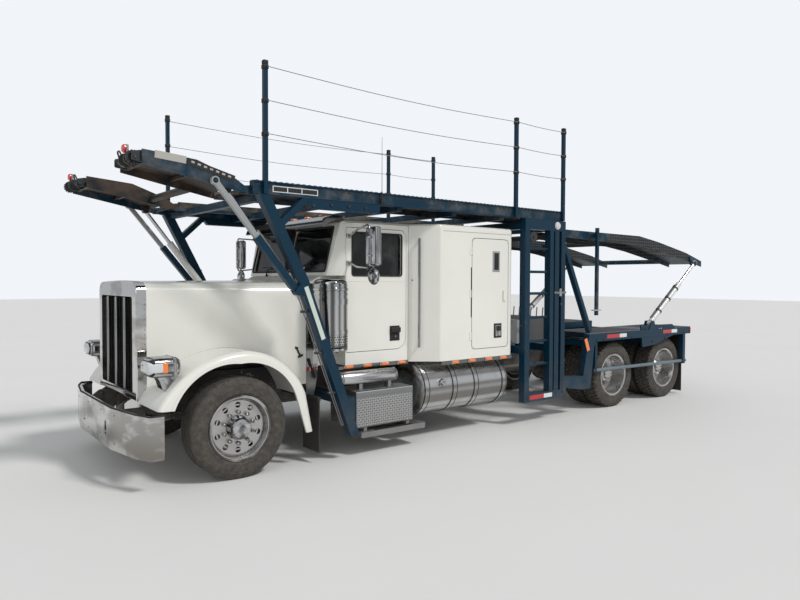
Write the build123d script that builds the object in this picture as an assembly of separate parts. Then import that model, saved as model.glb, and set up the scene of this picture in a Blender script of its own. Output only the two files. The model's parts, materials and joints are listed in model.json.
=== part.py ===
from build123d import *
import math
import os

# Car transporter truck: a long-nose tractor with a sleeper, a steel rack over
# the cab that carries cars, and a low coupling at the tail for its trailer.
# Millimetres. +X is forward, +Y the driver's side, +Z up. The origin is on the
# ground under the middle of the truck. A station is a distance behind the
# front axle, and it is negative ahead of it. Side views are (station, height).

os.makedirs("parts", exist_ok=True)

# Overall
LENGTH = 9100
FRONT_OVERHANG = 950
WHEELBASE = 5700
TANDEM_SPREAD = 1330
TANDEM_MIDDLE = WHEELBASE + TANDEM_SPREAD / 2
FRONT_AXLE_X = LENGTH / 2 - FRONT_OVERHANG
REAR_END = LENGTH - FRONT_OVERHANG
RACK_HALF_WIDTH = 1295
RACK_TUBE = 90
SEAT_GAP = 0.3

# Wheels and tyres
TYRE_RADIUS = 460
AXLE_HEIGHT = TYRE_RADIUS
BEAD_RADIUS = 290
FRONT_TYRE_WIDTH = 290
FRONT_WHEEL_Y = 1050
DRIVE_TYRE_WIDTH = 255
DUAL_SPACING = 318
OUTER_DUAL_Y = 1080
DISC_Y = OUTER_DUAL_Y - DUAL_SPACING / 2
DISC_THICKNESS = 14
HAND_HOLES = 10
HUB_RADIUS = 100
KINGPIN_Y = 885
KINGPIN_RADIUS = 24
PIN_CLEARANCE = 0.4

# Frame
RAIL_WEB_Y = 430
RAIL_BOTTOM = 620
RAIL_TOP = 890
RAIL_FLANGE = 85
RAIL_WALL = 10
RAIL_FRONT = -640
RAIL_REAR = TANDEM_MIDDLE + 1295
BEAM_HEIGHT = 80
KNUCKLE_SPINDLE = 38
AXLE_SPINDLE = 58

# Bumper and coupling
BUMPER_CENTRE = -FRONT_OVERHANG
BUMPER_BACK = BUMPER_CENTRE + 42
BUMPER_BOTTOM = 290
BUMPER_TOP = 655
COUPLING_STATION = RAIL_REAR + 400
COUPLING_BORE = 26

# Cab and sleeper
CAB_HALF_WIDTH = 970
COWL_HALF_WIDTH = 800
COWL_FRONT = 885
CAB_SIDE_FRONT = 1262
CAB_REAR = 2097
CAB_FLOOR = 910
CAB_ROOF = 2435
WINDSHIELD_FOOT = (1085, 1850)
WINDSHIELD_HEAD = (1215, 2395)
WALL = 45
CAB_ROOF_CORNER = 60
PANE_INNER = 36
PANE_OUTER = CAB_HALF_WIDTH - 125
PANE_CORNER = 55
SLEEPER_FRONT = CAB_REAR + 6
SLEEPER_FLARE = 2390
SLEEPER_REAR = 3570
SLEEPER_HALF_WIDTH = 1190
SLEEPER_FLOOR = 890
SLEEPER_ROOF = 2430
SLEEPER_CORNER = 50
SLEEPER_ROOF_CORNER = 38
DOOR_FRONT = 1272
DOOR_REAR = 2065
DOOR_BOTTOM = 1045
DOOR_TOP = 2345
DOOR_GAP = 6
DOOR_FRONT_CORNER = 22
DOOR_TOP_CORNER = 85
DOOR_HEEL_CORNER = 130
DOOR_THICKNESS = 55
WINDOW_FRONT = 1345
WINDOW_REAR = 2005
WINDOW_BOTTOM = 1845
WINDOW_TOP = 2300
GLASS = 6
LOCKER_FRONT = 2876
LOCKER_REAR = 3484
LOCKER_BOTTOM = 1000
LOCKER_TOP = 2290
LOCKER_CORNER = 70
DOOR_HINGES = (1130, 1640, 2130)
LOCKER_HINGES = (1150, 1645, 2140)
HINGE_PIN = 8
HINGE_RING = 12
HINGE_HALF = 45
HINGE_KNUCKLE = 15
HINGE_PLAY = 1.5
MIRROR_Y = 1500
MIRROR_STATION = 1235

# Hood, grille and fenders
GRILLE_FRONT = -745
GRILLE_DEPTH = 95
GRILLE_HALF_WIDTH = 620
GRILLE_BOTTOM = 700
GRILLE_TOP = 1784
GRILLE_OPENING_HALF = 515
GRILLE_OPENING_BOTTOM = 770
GRILLE_OPENING_TOP = 1640
GRILLE_OPENING_CORNER = 28
GRILLE_EDGE = 16
BAR_WIDTH = 28
BAR_PITCH = 280
HOOD_REAR = 868
HOOD_REAR_HALF = 840
HOOD_REAR_TOP = 1792
HOOD_BOTTOM = 740
HOOD_WALL = 16
HOOD_FRONT_SHOULDER = 105
HOOD_REAR_SHOULDER = 150
HOOD_CROWN = 12
FENDER_HALF_WIDTH = 1190
FENDER_INNER_Y = 575
FENDER_WALL = 18
FENDER_SHOULDER = 62
ARCH_SOFTENING = 120
FENDER_LIP = 24
FENDER_LIP_HEIGHT = 7
HEADLIGHT_CORNER = 36
HINGE_STATION = -770
HINGE_HEIGHT = 645
HINGE_RADIUS = 18

# Rack over the cab
DECK_TOP = 2690
DECK_RAIL_HEIGHT = 126
DECK_RAIL_WALL = 70
DECK_FRONT = 90
DECK_REAR = 4454
RUNWAY_INNER = RACK_HALF_WIDTH - 685
RUNWAY_PLATE = 14
RUNWAY_HEIGHT = 2630
POST_DEPTH = 90
TOWER_FRONT = 3679
TOWER_REAR = 4150
RUNG_HEIGHTS = (750, 1040, 1340, 1640, 1910, 2200)
TOWER_BOTTOM = 290
POLE = 40
POLE_TOP = 3755
POLE_FOOT = 2540
LEG_FOOT = (1168, 262)
LEG_KNEE = (592, 1780)
LEG_HEAD = (185, 2564)
LEG_DEPTH = 98

# Head ramp over the hood
RAMP_HINGE = (20, 2600)
RAMP_FRONT = -860
CYLINDER_FOOT = (660, 1600)
CYLINDER_EYE = (-110, 2590)
CYLINDER_Y = RACK_HALF_WIDTH - 155
STRUT_FOOT = (530, 1690)
STRUT_EYE = (-262, 2650)
STRUT_Y = RACK_HALF_WIDTH - 45
STRUT_WIDTH = 64
PIN = 15
ROD_SHARE = 0.55
CYLINDER_EYE_BORE = 20.5
STRUT_EYE_BORE = 24

# Rear deck and fender deck
DECK2_HINGE = (DECK_REAR + 76, 2420)
DECK2_LENGTH = REAR_END - DECK2_HINGE[0]
LIFT_FOOT = (TANDEM_MIDDLE + 175, 1165)
LIFT_EYE = (REAR_END - 330, 2090)
LIFT_Y = RACK_HALF_WIDTH - 55
LIFT_PIN = 20
LIFT_EYE_PIN = 16
LIFT_EYE_BORE = 37
WHEEL_DECK_TOP = 1080
WHEEL_DECK_BOTTOM = 970
WHEEL_DECK_FRONT = TANDEM_MIDDLE - 1215
WHEEL_DECK_REAR = TANDEM_MIDDLE + 1265
STOWED_POLE_STATION = WHEEL_DECK_FRONT + 10
STOWED_POLE_BOTTOM = 1330
STOWED_POLE_TOP = 2520
LEVERS = 6
LEVER_PITCH = 100

# Tanks and boxes
TANK_RADIUS = 300
TANK_FRONT = 2112
TANK_REAR = 3520
TANK_Y = 888
TANK_Z = 575
TANK_STRAP = 56
TANK_STRAP_HEIGHT = 5
AIR_TANK_RADIUS = 72
BOX_FRONT = 1252
BOX_REAR = 1990
BOX_TOP = 660
BOX_BOTTOM = 284
BOX_LID = 606
STEP_TREAD = (560, 120)
CLEANER_STATION = 1060
CLEANER_Y = 1000
CLEANER_RADIUS = 174
CLEANER_BOTTOM = 1126
CLEANER_TOP = 1815


def at(station):
    """X of a station behind the front axle."""
    return FRONT_AXLE_X - station


def block(s0, s1, y0, y1, z0, z1):
    """A box between two stations, two sides and two heights."""
    size = (abs(s1 - s0), abs(y1 - y0), abs(z1 - z0))
    return Pos(at((s0 + s1) / 2), (y0 + y1) / 2, (z0 + z1) / 2) * Box(*size)


def side_face(points, radius=0):
    """A face in side view from (station, height) points, its corners rounded."""
    face = Plane.XZ * make_face(Polyline(*[(at(s), z) for s, z in points], close=True))
    if radius:
        face = fillet(face.vertices(), radius)
    return face


def side_plate(points, y0, y1, radius=0):
    """A plate seen from the side, from y0 to y1."""
    low, high = sorted((y0, y1))
    return extrude(Pos(0, high, 0) * side_face(points, radius), high - low, dir=(0, -1, 0))


def front_plate(points, s0, s1, radius=0):
    """A plate seen from the front: (y, height) points, between two stations."""
    face = Plane.YZ * make_face(Polyline(*points, close=True))
    if radius:
        face = fillet(face.vertices(), radius)
    return extrude(Pos(at(max(s0, s1)), 0, 0) * face, abs(s1 - s0), dir=(1, 0, 0))


def plan_plate(points, z0, z1):
    """A plate seen from above: (station, y) points, between two heights."""
    face = make_face(Polyline(*[(at(s), y) for s, y in points], close=True))
    return extrude(Pos(0, 0, z0) * face, z1 - z0, dir=(0, 0, 1))


def along(p, q, s=0.0, offset=0.0):
    """A point s of the way from p to q in side view, offset to its left."""
    ds, dz = q[0] - p[0], q[1] - p[1]
    length = math.hypot(ds, dz)
    return (p[0] + ds * s - dz / length * offset, p[1] + dz * s + ds / length * offset)


def strip(p, q, depth):
    """The four corners of a bar of a given depth between two side-view points."""
    half = depth / 2
    return [along(p, q, 0, half), along(p, q, 1, half), along(p, q, 1, -half), along(p, q, 0, -half)]


def bar(p, q, depth, y0, y1):
    """A rectangular bar between two side-view points."""
    return side_plate(strip(p, q, depth), y0, y1)


def tube(p, q, radius, bore=0.0):
    """A round bar or tube between two (station, y, height) points."""
    start = Vector(at(p[0]), p[1], p[2])
    end = Vector(at(q[0]), q[1], q[2])
    plane = Plane(origin=start, z_dir=end - start)
    face = Circle(radius) - Circle(bore) if bore else Circle(radius)
    return extrude(plane * face, (end - start).length)


def cross_pin(point, y0, y1, radius, bore=0.0):
    """A round pin along Y at a side-view point."""
    low, high = sorted((y0, y1))
    return tube((point[0], low, point[1]), (point[0], high, point[1]), radius, bore)


def turned(profile, centre):
    """A ring turned about the wheel's axle from (y, radius) points."""
    face = make_face(Polyline(*[(r, y) for y, r in profile], close=True))
    return Pos(at(centre[0]), centre[1], centre[2]) * revolve(face, Axis.Y, 360)


VIA = "via"


def outline(points):
    """A face from points in turn; one marked VIA is the middle of an arc."""
    edges = []
    index = 0
    while index < len(points):
        following = points[(index + 1) % len(points)]
        if len(following) == 3:
            edges.append(ThreePointArc(points[index], following[:2], points[(index + 2) % len(points)]))
            index += 2
        else:
            edges.append(Line(points[index], following))
            index += 1
    return make_face(edges)


def turned_lying(profile, y, z):
    """A shape turned about a level axis along the truck, from (station, radius) points."""
    face = outline([(at(point[0]), *point[1:]) for point in profile])
    return Pos(0, y, z) * revolve(face, Axis.X, 360)


def turned_standing(profile, station, y):
    """A shape turned about an upright axis, from (radius, height) points."""
    face = Plane.XZ * outline(profile)
    return Pos(at(station), y, 0) * revolve(face, Axis.Z, 360)


def rounded_face(corners):
    """A side-view face from (station, height, corner radius) rows."""
    face = Plane.XZ * make_face(Polyline(*[(at(s), z) for s, z, _ in corners], close=True))
    for s, z, radius in corners:
        nearest = face.vertices().sort_by_distance((at(s), 0, z))[0]
        face = fillet(nearest, radius)
    return face


def right(shape):
    """The same piece on the passenger's side."""
    return mirror(shape, about=Plane.XZ)


def both(shape):
    """The piece and its mirror image."""
    return [shape, right(shape)]


def node(name, *shapes):
    """Writes one sub-part, of one or more solids that don't touch."""
    solids = []
    for shape in shapes:
        for item in shape if isinstance(shape, list) else [shape]:
            solids += item.solids()
    export_step(Compound(children=solids), f"parts/{name}.step")


# Frame, axles and drive


def chassis_frame():
    rail_middle = (RAIL_BOTTOM + RAIL_TOP) / 2
    rail = block(RAIL_FRONT, RAIL_REAR, RAIL_WEB_Y - RAIL_FLANGE, RAIL_WEB_Y, RAIL_BOTTOM, RAIL_TOP)
    inside = RAIL_WEB_Y - RAIL_WALL
    rail -= block(RAIL_FRONT - 1, RAIL_REAR + 1, RAIL_WEB_Y - RAIL_FLANGE - 1, inside,
                  RAIL_BOTTOM + RAIL_WALL, RAIL_TOP - RAIL_WALL)
    horn = side_plate([(BUMPER_BACK, 380), (BUMPER_BACK, 600), (HINGE_STATION - 30, HINGE_HEIGHT + 35),
                       (RAIL_FRONT - 5, HINGE_HEIGHT + 35), (RAIL_FRONT + 60, 740),
                       (RAIL_FRONT + 60, RAIL_BOTTOM), (RAIL_FRONT - 80, 380)], inside, RAIL_WEB_Y)
    horn -= cross_pin((HINGE_STATION, HINGE_HEIGHT), inside - 1, RAIL_WEB_Y + 1, HINGE_RADIUS + PIN_CLEARANCE)
    frame = rail + horn
    for station in (980, 2040):
        frame += block(station - 40, station + 40, RAIL_WEB_Y - 70, RAIL_WEB_Y - 5, RAIL_TOP - 5, CAB_FLOOR)
    frame += right(frame)
    for station in (-560, 2060, 3300, 4560, WHEEL_DECK_FRONT + 65, TANDEM_MIDDLE, RAIL_REAR - 60):
        frame += block(station - 40, station + 40, -inside, inside, rail_middle - 20, RAIL_TOP - RAIL_WALL)
    return frame


def front_axle():
    half = BEAM_HEIGHT / 2
    drop = [(-600, 310), (-600, 310 + BEAM_HEIGHT), (600, 310 + BEAM_HEIGHT), (600, 310)]
    beam = front_plate(drop, -45, 45)
    spring_y = RAIL_WEB_Y - RAIL_WALL - 37
    spring_half = 33
    leaf_low, leaf_end = 415, RAIL_BOTTOM - 60
    side = front_plate([(560, 310), (560, 390), (760, AXLE_HEIGHT + half), (KINGPIN_Y, AXLE_HEIGHT + half),
                        (KINGPIN_Y, AXLE_HEIGHT - half), (790, AXLE_HEIGHT - half), (620, 310)], -45, 45)
    boss = tube((0, KINGPIN_Y, AXLE_HEIGHT - 60), (0, KINGPIN_Y, AXLE_HEIGHT + 60), 50)
    leaf = Plane.XZ * make_face([
        ThreePointArc((at(-620), leaf_end), (at(0), leaf_low), (at(620), leaf_end)),
        Line((at(620), leaf_end), (at(620), leaf_end + 34)),
        ThreePointArc((at(620), leaf_end + 34), (at(0), leaf_low + 55), (at(-620), leaf_end + 34)),
        Line((at(-620), leaf_end + 34), (at(-620), leaf_end)),
    ])
    leaf = extrude(Pos(0, spring_y + spring_half, 0) * leaf, 2 * spring_half, dir=(0, -1, 0))
    side += leaf + block(-60, 60, spring_y - 45, spring_y + 45, 310 + BEAM_HEIGHT, leaf_low + 8)
    for station in (-600, 600):
        side += block(station - 35, station + 35, spring_y - spring_half, spring_y + spring_half,
                      leaf_end + 10, RAIL_BOTTOM)
    side = side + boss
    side -= tube((0, KINGPIN_Y, AXLE_HEIGHT - 70), (0, KINGPIN_Y, AXLE_HEIGHT + 70),
                 KINGPIN_RADIUS + PIN_CLEARANCE)
    return beam + side + right(side)


def knuckle():
    pin_half = 104
    arm = block(-48, 48, KINGPIN_Y - 48, KINGPIN_Y + 75, AXLE_HEIGHT - pin_half, AXLE_HEIGHT + pin_half)
    arm -= block(-60, 60, KINGPIN_Y - 80, KINGPIN_Y + 56, AXLE_HEIGHT - 62, AXLE_HEIGHT + 62)
    arm += tube((0, KINGPIN_Y, AXLE_HEIGHT - pin_half), (0, KINGPIN_Y, AXLE_HEIGHT + pin_half), KINGPIN_RADIUS)
    arm += tube((0, KINGPIN_Y + 60, AXLE_HEIGHT), (0, FRONT_WHEEL_Y + 60, AXLE_HEIGHT), KNUCKLE_SPINDLE)
    return arm


def drive_axles():
    inner_end = OUTER_DUAL_Y - DUAL_SPACING - DRIVE_TYRE_WIDTH / 2 - 10
    arm_y = RAIL_WEB_Y - 5
    assembly = None
    for station in (WHEELBASE, WHEELBASE + TANDEM_SPREAD):
        axle = tube((station, -inner_end, AXLE_HEIGHT), (station, inner_end, AXLE_HEIGHT), 75)
        axle += tube((station, -DISC_Y - 110, AXLE_HEIGHT), (station, DISC_Y + 110, AXLE_HEIGHT), AXLE_SPINDLE)
        axle += cross_pin((station, AXLE_HEIGHT), -110, 110, 190)
        axle += tube((station - 330, 0, AXLE_HEIGHT + 20), (station, 0, AXLE_HEIGHT + 20), 90)
        for side in (1, -1):
            axle += block(station - 70, station + 70, side * (arm_y - 45), side * (arm_y + 45),
                          AXLE_HEIGHT, 545)
        assembly = axle if assembly is None else assembly + axle
    walking = side_plate([(WHEELBASE - 100, 545), (WHEELBASE - 100, 575), (TANDEM_MIDDLE - 200, RAIL_BOTTOM),
                          (TANDEM_MIDDLE + 200, RAIL_BOTTOM), (WHEELBASE + TANDEM_SPREAD + 100, 575),
                          (WHEELBASE + TANDEM_SPREAD + 100, 545), (TANDEM_MIDDLE, 500)],
                         arm_y - 40, arm_y + 40)
    return assembly + walking + right(walking)


def powertrain():
    engine = block(-380, COWL_FRONT - 25, -320, 320, 500, 1440)
    for station in (0, 700):
        engine += block(station - 50, station + 50, RAIL_WALL - RAIL_WEB_Y, RAIL_WEB_Y - RAIL_WALL, 650, 720)
    gearbox = side_plate([(COWL_FRONT - 26, 480), (COWL_FRONT - 26, 850), (1250, 850), (1900, 780),
                          (1900, 520), (1250, 480)], -190, 190)
    shaft = tube((1900, 0, 620), (WHEELBASE - 332.4, 0, AXLE_HEIGHT + 20), 52)
    second = tube((WHEELBASE + 190.3, 0, AXLE_HEIGHT + 20),
                  (WHEELBASE + TANDEM_SPREAD - 330.3, 0, AXLE_HEIGHT + 20), 48)
    return [engine + gearbox + shaft, second]


def bumper():
    half, wall = 1200, 14
    outline = [(BUMPER_CENTRE, -560), (BUMPER_CENTRE, 560), (-875, 1010), (-800, half), (-690, half)]

    def band(inset):
        left = [(s + inset, y) for s, y in outline[1:3]] + [(-800 + inset, half - inset), (-689, half - inset)]
        return left + [(s, -y) for s, y in reversed(left)]

    shell = plan_plate(band(0), BUMPER_BOTTOM, BUMPER_TOP)
    shell -= plan_plate(band(wall), BUMPER_BOTTOM - 1, BUMPER_TOP + 1)
    shell += plan_plate(band(0), BUMPER_TOP - 12, BUMPER_TOP)
    shell -= plan_plate(band(42), BUMPER_TOP - 13, BUMPER_TOP + 1)
    for y in (-390, 390):
        shell -= block(BUMPER_CENTRE - 5, BUMPER_CENTRE + wall + 5, y - 28, y + 28, 400, 520)
    for y in (-380, 380):
        shell += block(BUMPER_CENTRE + wall, BUMPER_BACK, y + 30 * (1 if y > 0 else -1) - 16,
                       y + 30 * (1 if y > 0 else -1) + 16, 420, 590)
    return shell


# Cab, sleeper and what shows inside


def upright(station, y, low, high, radius):
    """A round bar that stands between two heights."""
    return tube((station, y, low), (station, y, high), radius)


def hinge_fixed(station, y, heights, leaf=0):
    """The pins, outer knuckles and leaves that the wall carries, on the left side."""
    pieces = None
    for z in heights:
        piece = upright(station, y, z - HINGE_HALF, z + HINGE_HALF, HINGE_PIN)
        for low, high in ((z - HINGE_HALF, z - HINGE_KNUCKLE - 2), (z + HINGE_KNUCKLE + 2, z + HINGE_HALF)):
            piece += upright(station, y, low, high, HINGE_RING)
            piece += block(station - HINGE_RING - 3, station, y - 10, y + 4, low, high)
        if leaf:
            inner = station - HINGE_RING - 2
            piece += block(inner - leaf, inner, y - 10, y + 4, z - HINGE_HALF, z + HINGE_HALF)
        pieces = piece if pieces is None else pieces + piece
    return pieces


def hinge_fixed_room(station, y, heights):
    """What the wall gives up so that the moving knuckles turn."""
    room = [upright(station, y, z - HINGE_KNUCKLE - 1, z + HINGE_KNUCKLE + 1, HINGE_RING + HINGE_PLAY)
            for z in heights]
    return room[0] + room[1:]


def hinge_moving(panel, station, y, heights):
    """A hinged panel with its knuckles, and room round the fixed ones."""
    for z in heights:
        panel -= upright(station, y, z - HINGE_HALF - 2, z + HINGE_HALF + 2, HINGE_RING + HINGE_PLAY)
        panel += upright(station, y, z - HINGE_KNUCKLE, z + HINGE_KNUCKLE, HINGE_RING)
        panel += block(station + 5, station + HINGE_RING + 6, y - 11, y, z - HINGE_KNUCKLE, z + HINGE_KNUCKLE)
        panel -= upright(station, y, z - HINGE_HALF, z + HINGE_HALF, HINGE_PIN + SEAT_GAP)
    return panel


def cab_profile(inset=0.0):
    floor, roof = CAB_FLOOR + inset, CAB_ROOF - inset
    foot, head = WINDSHIELD_FOOT, WINDSHIELD_HEAD
    return [(COWL_FRONT + inset, floor), (COWL_FRONT + inset, 1745 - inset),
            (foot[0] + inset * 0.6, foot[1] - inset), (head[0] + inset * 0.9, head[1]),
            (head[0] + 60 + inset, roof), (CAB_REAR, roof), (CAB_REAR, floor)]


def cab_shell():
    shell = side_plate(cab_profile(), -CAB_HALF_WIDTH, CAB_HALF_WIDTH)
    roof_edges = [edge for edge in shell.edges().filter_by(Axis.X) if abs(edge.center().Z - CAB_ROOF) < 1]
    shell = fillet(roof_edges, CAB_ROOF_CORNER)
    hollow = side_plate(cab_profile(WALL), -CAB_HALF_WIDTH + WALL, CAB_HALF_WIDTH - WALL)
    beyond = CAB_HALF_WIDTH + 330
    cowl_cut = block(COWL_FRONT - 10, CAB_SIDE_FRONT, COWL_HALF_WIDTH, beyond,
                     CAB_FLOOR - 10, WINDSHIELD_FOOT[1] - 5)
    cowl_hollow = block(COWL_FRONT - 10, CAB_SIDE_FRONT + WALL, COWL_HALF_WIDTH - WALL, beyond,
                        CAB_FLOOR - 10, WINDSHIELD_FOOT[1] + WALL)
    pillar = CAB_HALF_WIDTH - 90
    taper = [(900, pillar), (1085, pillar), (CAB_SIDE_FRONT, CAB_HALF_WIDTH),
             (CAB_SIDE_FRONT, beyond), (900, beyond)]
    corner = plan_plate(taper, WINDSHIELD_FOOT[1] - 5, CAB_ROOF + 10)
    inner_taper = [(s + 12, y - WALL) for s, y in taper]
    inner_corner = plan_plate(inner_taper, WINDSHIELD_FOOT[1] - 5, CAB_ROOF + 10)
    shell -= cowl_cut + right(cowl_cut) + corner + right(corner)
    hollow -= cowl_hollow + right(cowl_hollow) + inner_corner + right(inner_corner)
    shell -= hollow
    opening = pane(400)
    shell -= opening + right(opening)
    doorway = from_side(door_face(DOOR_GAP), CAB_HALF_WIDTH - WALL - 30, CAB_HALF_WIDTH + 10)
    walk = block(CAB_REAR - 5, CAB_REAR + 5, -CAB_HALF_WIDTH + WALL, CAB_HALF_WIDTH - WALL,
                 CAB_FLOOR + WALL, CAB_ROOF - WALL)
    shell -= doorway + right(doorway) + walk
    room = hinge_fixed_room(DOOR_FRONT, CAB_HALF_WIDTH, DOOR_HINGES)
    shell -= room + right(room)
    hinges = hinge_fixed(DOOR_FRONT, CAB_HALF_WIDTH, DOOR_HINGES)
    return shell + hinges + right(hinges)


def pane(depth, offset=0.0):
    """The left half of the windshield, its corners rounded, as a prism square to the glass."""
    low = along(WINDSHIELD_FOOT, WINDSHIELD_HEAD, 0.07, offset)
    high = along(WINDSHIELD_FOOT, WINDSHIELD_HEAD, 0.93, offset)
    middle = along(low, high, 0.5)
    plane = Plane(origin=(at(middle[0]), (PANE_INNER + PANE_OUTER) / 2, middle[1]), x_dir=(0, 1, 0),
                  z_dir=(high[1] - low[1], 0, high[0] - low[0]))
    face = plane * RectangleRounded(PANE_OUTER - PANE_INNER, reach(low, high), PANE_CORNER)
    return extrude(face, depth / 2, both=True)


def cab_glass():
    return both(pane(GLASS, -25))


def sun_visor():
    half = CAB_HALF_WIDTH - 75
    face = outline([(at(1025), 2345), (at(1068), 2428, VIA), (at(1180), 2470), (at(1300), 2470),
                    (at(1300), CAB_ROOF), (at(1275), CAB_ROOF), (at(WINDSHIELD_HEAD[0] - 6), 2425),
                    (at(1120), 2395, VIA), (at(1050), 2345)])
    return from_side(Plane.XZ * face, -half, half)


def sleeper_outline(inset=0.0):
    half = SLEEPER_HALF_WIDTH - inset
    front = CAB_HALF_WIDTH - inset * 0.9
    left = [(SLEEPER_FRONT, front), (SLEEPER_FLARE, half), (SLEEPER_REAR - inset, half)]
    return left + [(s, -y) for s, y in reversed(left)]


def sleeper_shell():
    shell = plan_plate(sleeper_outline(), SLEEPER_FLOOR, SLEEPER_ROOF)
    shell = fillet(shell.edges().filter_by(Axis.Z).sort_by(Axis.X)[:4], SLEEPER_CORNER)
    roof_edges = [edge for edge in shell.edges() if abs(edge.center().Z - SLEEPER_ROOF) < 1
                  and edge.center().X < at(SLEEPER_FRONT + 1)]
    shell = fillet(roof_edges, SLEEPER_ROOF_CORNER)
    shell -= plan_plate(sleeper_outline(WALL), SLEEPER_FLOOR + WALL, SLEEPER_ROOF - WALL)
    hatch = from_side(locker_face(DOOR_GAP), SLEEPER_HALF_WIDTH - WALL - 5, SLEEPER_HALF_WIDTH + 5)
    hinges = hinge_fixed(LOCKER_FRONT, SLEEPER_HALF_WIDTH, LOCKER_HINGES, leaf=24)
    hatch += hinge_fixed_room(LOCKER_FRONT, SLEEPER_HALF_WIDTH, LOCKER_HINGES)
    shell = shell - hatch - right(hatch)
    return shell + hinges + right(hinges)


def locker_face(grow=0.0):
    low, high, corner = LOCKER_BOTTOM - grow, LOCKER_TOP + grow, LOCKER_CORNER + grow
    front, rear = LOCKER_FRONT - grow, LOCKER_REAR + grow
    return rounded_face([(s, z, corner) for s, z in ((front, low), (front, high), (rear, high), (rear, low))])


def locker_door():
    panel = from_side(locker_face(), SLEEPER_HALF_WIDTH - WALL, SLEEPER_HALF_WIDTH)
    latch = block(LOCKER_REAR - 90, LOCKER_REAR - 45, SLEEPER_HALF_WIDTH, SLEEPER_HALF_WIDTH + 18, 1560, 1680)
    panel = hinge_moving(panel, LOCKER_FRONT, SLEEPER_HALF_WIDTH, LOCKER_HINGES)
    return panel + latch


def door_face(grow=0.0):
    """The door's outline, rounder at the rear, and rounder still at its heel."""
    return rounded_face([
        (DOOR_FRONT - grow, DOOR_BOTTOM - grow, DOOR_FRONT_CORNER + grow),
        (DOOR_FRONT - grow, DOOR_TOP + grow, DOOR_FRONT_CORNER + grow),
        (DOOR_REAR + grow, DOOR_TOP + grow, DOOR_TOP_CORNER + grow),
        (DOOR_REAR + grow, DOOR_BOTTOM - grow, DOOR_HEEL_CORNER + grow),
    ])


def door():
    panel = from_side(door_face(), CAB_HALF_WIDTH - DOOR_THICKNESS, CAB_HALF_WIDTH)
    window = side_plate(window_outline(), CAB_HALF_WIDTH - DOOR_THICKNESS - 1, CAB_HALF_WIDTH + 1, radius=40)
    handle = block(1850, 1975, CAB_HALF_WIDTH, CAB_HALF_WIDTH + 30, 1235, 1275)
    panel = hinge_moving(panel, DOOR_FRONT, CAB_HALF_WIDTH, DOOR_HINGES)
    return panel - window + handle


def window_outline(inset=0.0):
    return [(WINDOW_FRONT + inset, WINDOW_BOTTOM + inset), (WINDOW_FRONT + inset, WINDOW_TOP - inset),
            (WINDOW_REAR - inset, WINDOW_TOP - inset), (WINDOW_REAR - inset, WINDOW_BOTTOM + inset)]


def door_glass():
    middle = CAB_HALF_WIDTH - 25
    return side_plate(window_outline(), middle - GLASS, middle, radius=40)


def door_mirror():
    plate_s = MIRROR_STATION
    head = block(plate_s - 35, plate_s + 35, MIRROR_Y - 95, MIRROR_Y + 95, 1935, 2320)
    head = fillet(head.edges(), 26)
    spot = tube((plate_s - 30, MIRROR_Y, 1838), (plate_s + 20, MIRROR_Y, 1838), 88)
    foot_s = DOOR_FRONT + 30
    arms = None
    for height in (2255, 1975):
        arm = tube((foot_s, CAB_HALF_WIDTH + 6, height), (plate_s + 30, MIRROR_Y - 60, height), 11)
        arms = arm if arms is None else arms + arm
    stem = tube((plate_s, MIRROR_Y, 1800), (plate_s, MIRROR_Y, 1940), 11)
    pads = block(foot_s - 25, foot_s + 25, CAB_HALF_WIDTH, CAB_HALF_WIDTH + 12, 1955, 1995)
    pads += block(foot_s - 25, foot_s + 25, CAB_HALF_WIDTH, CAB_HALF_WIDTH + 12, 2235, 2275)
    return head + spot + arms + stem + pads


def cab_interior():
    floor = CAB_FLOOR + WALL
    half = CAB_HALF_WIDTH - 90
    driver_y = CAB_HALF_WIDTH - 520
    dash = side_plate([(1312, 1250), (1312, 1760), (1400, 1790), (1560, 1640), (1540, 1350)], -half, half)
    column = tube((1540, driver_y, 1480), (1640, driver_y, 1560), 28)
    wheel_plane = Plane(origin=(at(1655), driver_y, 1572), z_dir=(-100, 0, 80))
    wheel = extrude(wheel_plane * (Circle(225) - Circle(198)), 26)
    spokes = extrude(wheel_plane * (Rectangle(400, 40) + Rectangle(40, 400) + Circle(50)), 14)
    foot = block(1320, 1500, half - 60, half - 20, floor, 1300)
    pieces = [dash + column + spokes + wheel + foot + right(foot)]
    for y in (driver_y, -driver_y):
        seat = block(1700, 2080, y - 240, y + 240, 1280, 1420)
        seat += block(1780, 2020, y - 150, y + 150, floor, 1281)
        seat += side_plate([(1980, 1420), (2060, 2080), (2180, 2080), (2090, 1400)], y - 230, y + 230)
        pieces.append(seat)
    bunk_half = SLEEPER_HALF_WIDTH - 50
    bunk = block(2700, SLEEPER_REAR - WALL, -bunk_half, bunk_half, 1250, 1430)
    bunk += block(2760, SLEEPER_REAR - WALL, 40 - bunk_half, bunk_half - 40, SLEEPER_FLOOR + WALL, 1251)
    pieces.append(bunk)
    return pieces


# Chrome and running gear hung on the cab


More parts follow.
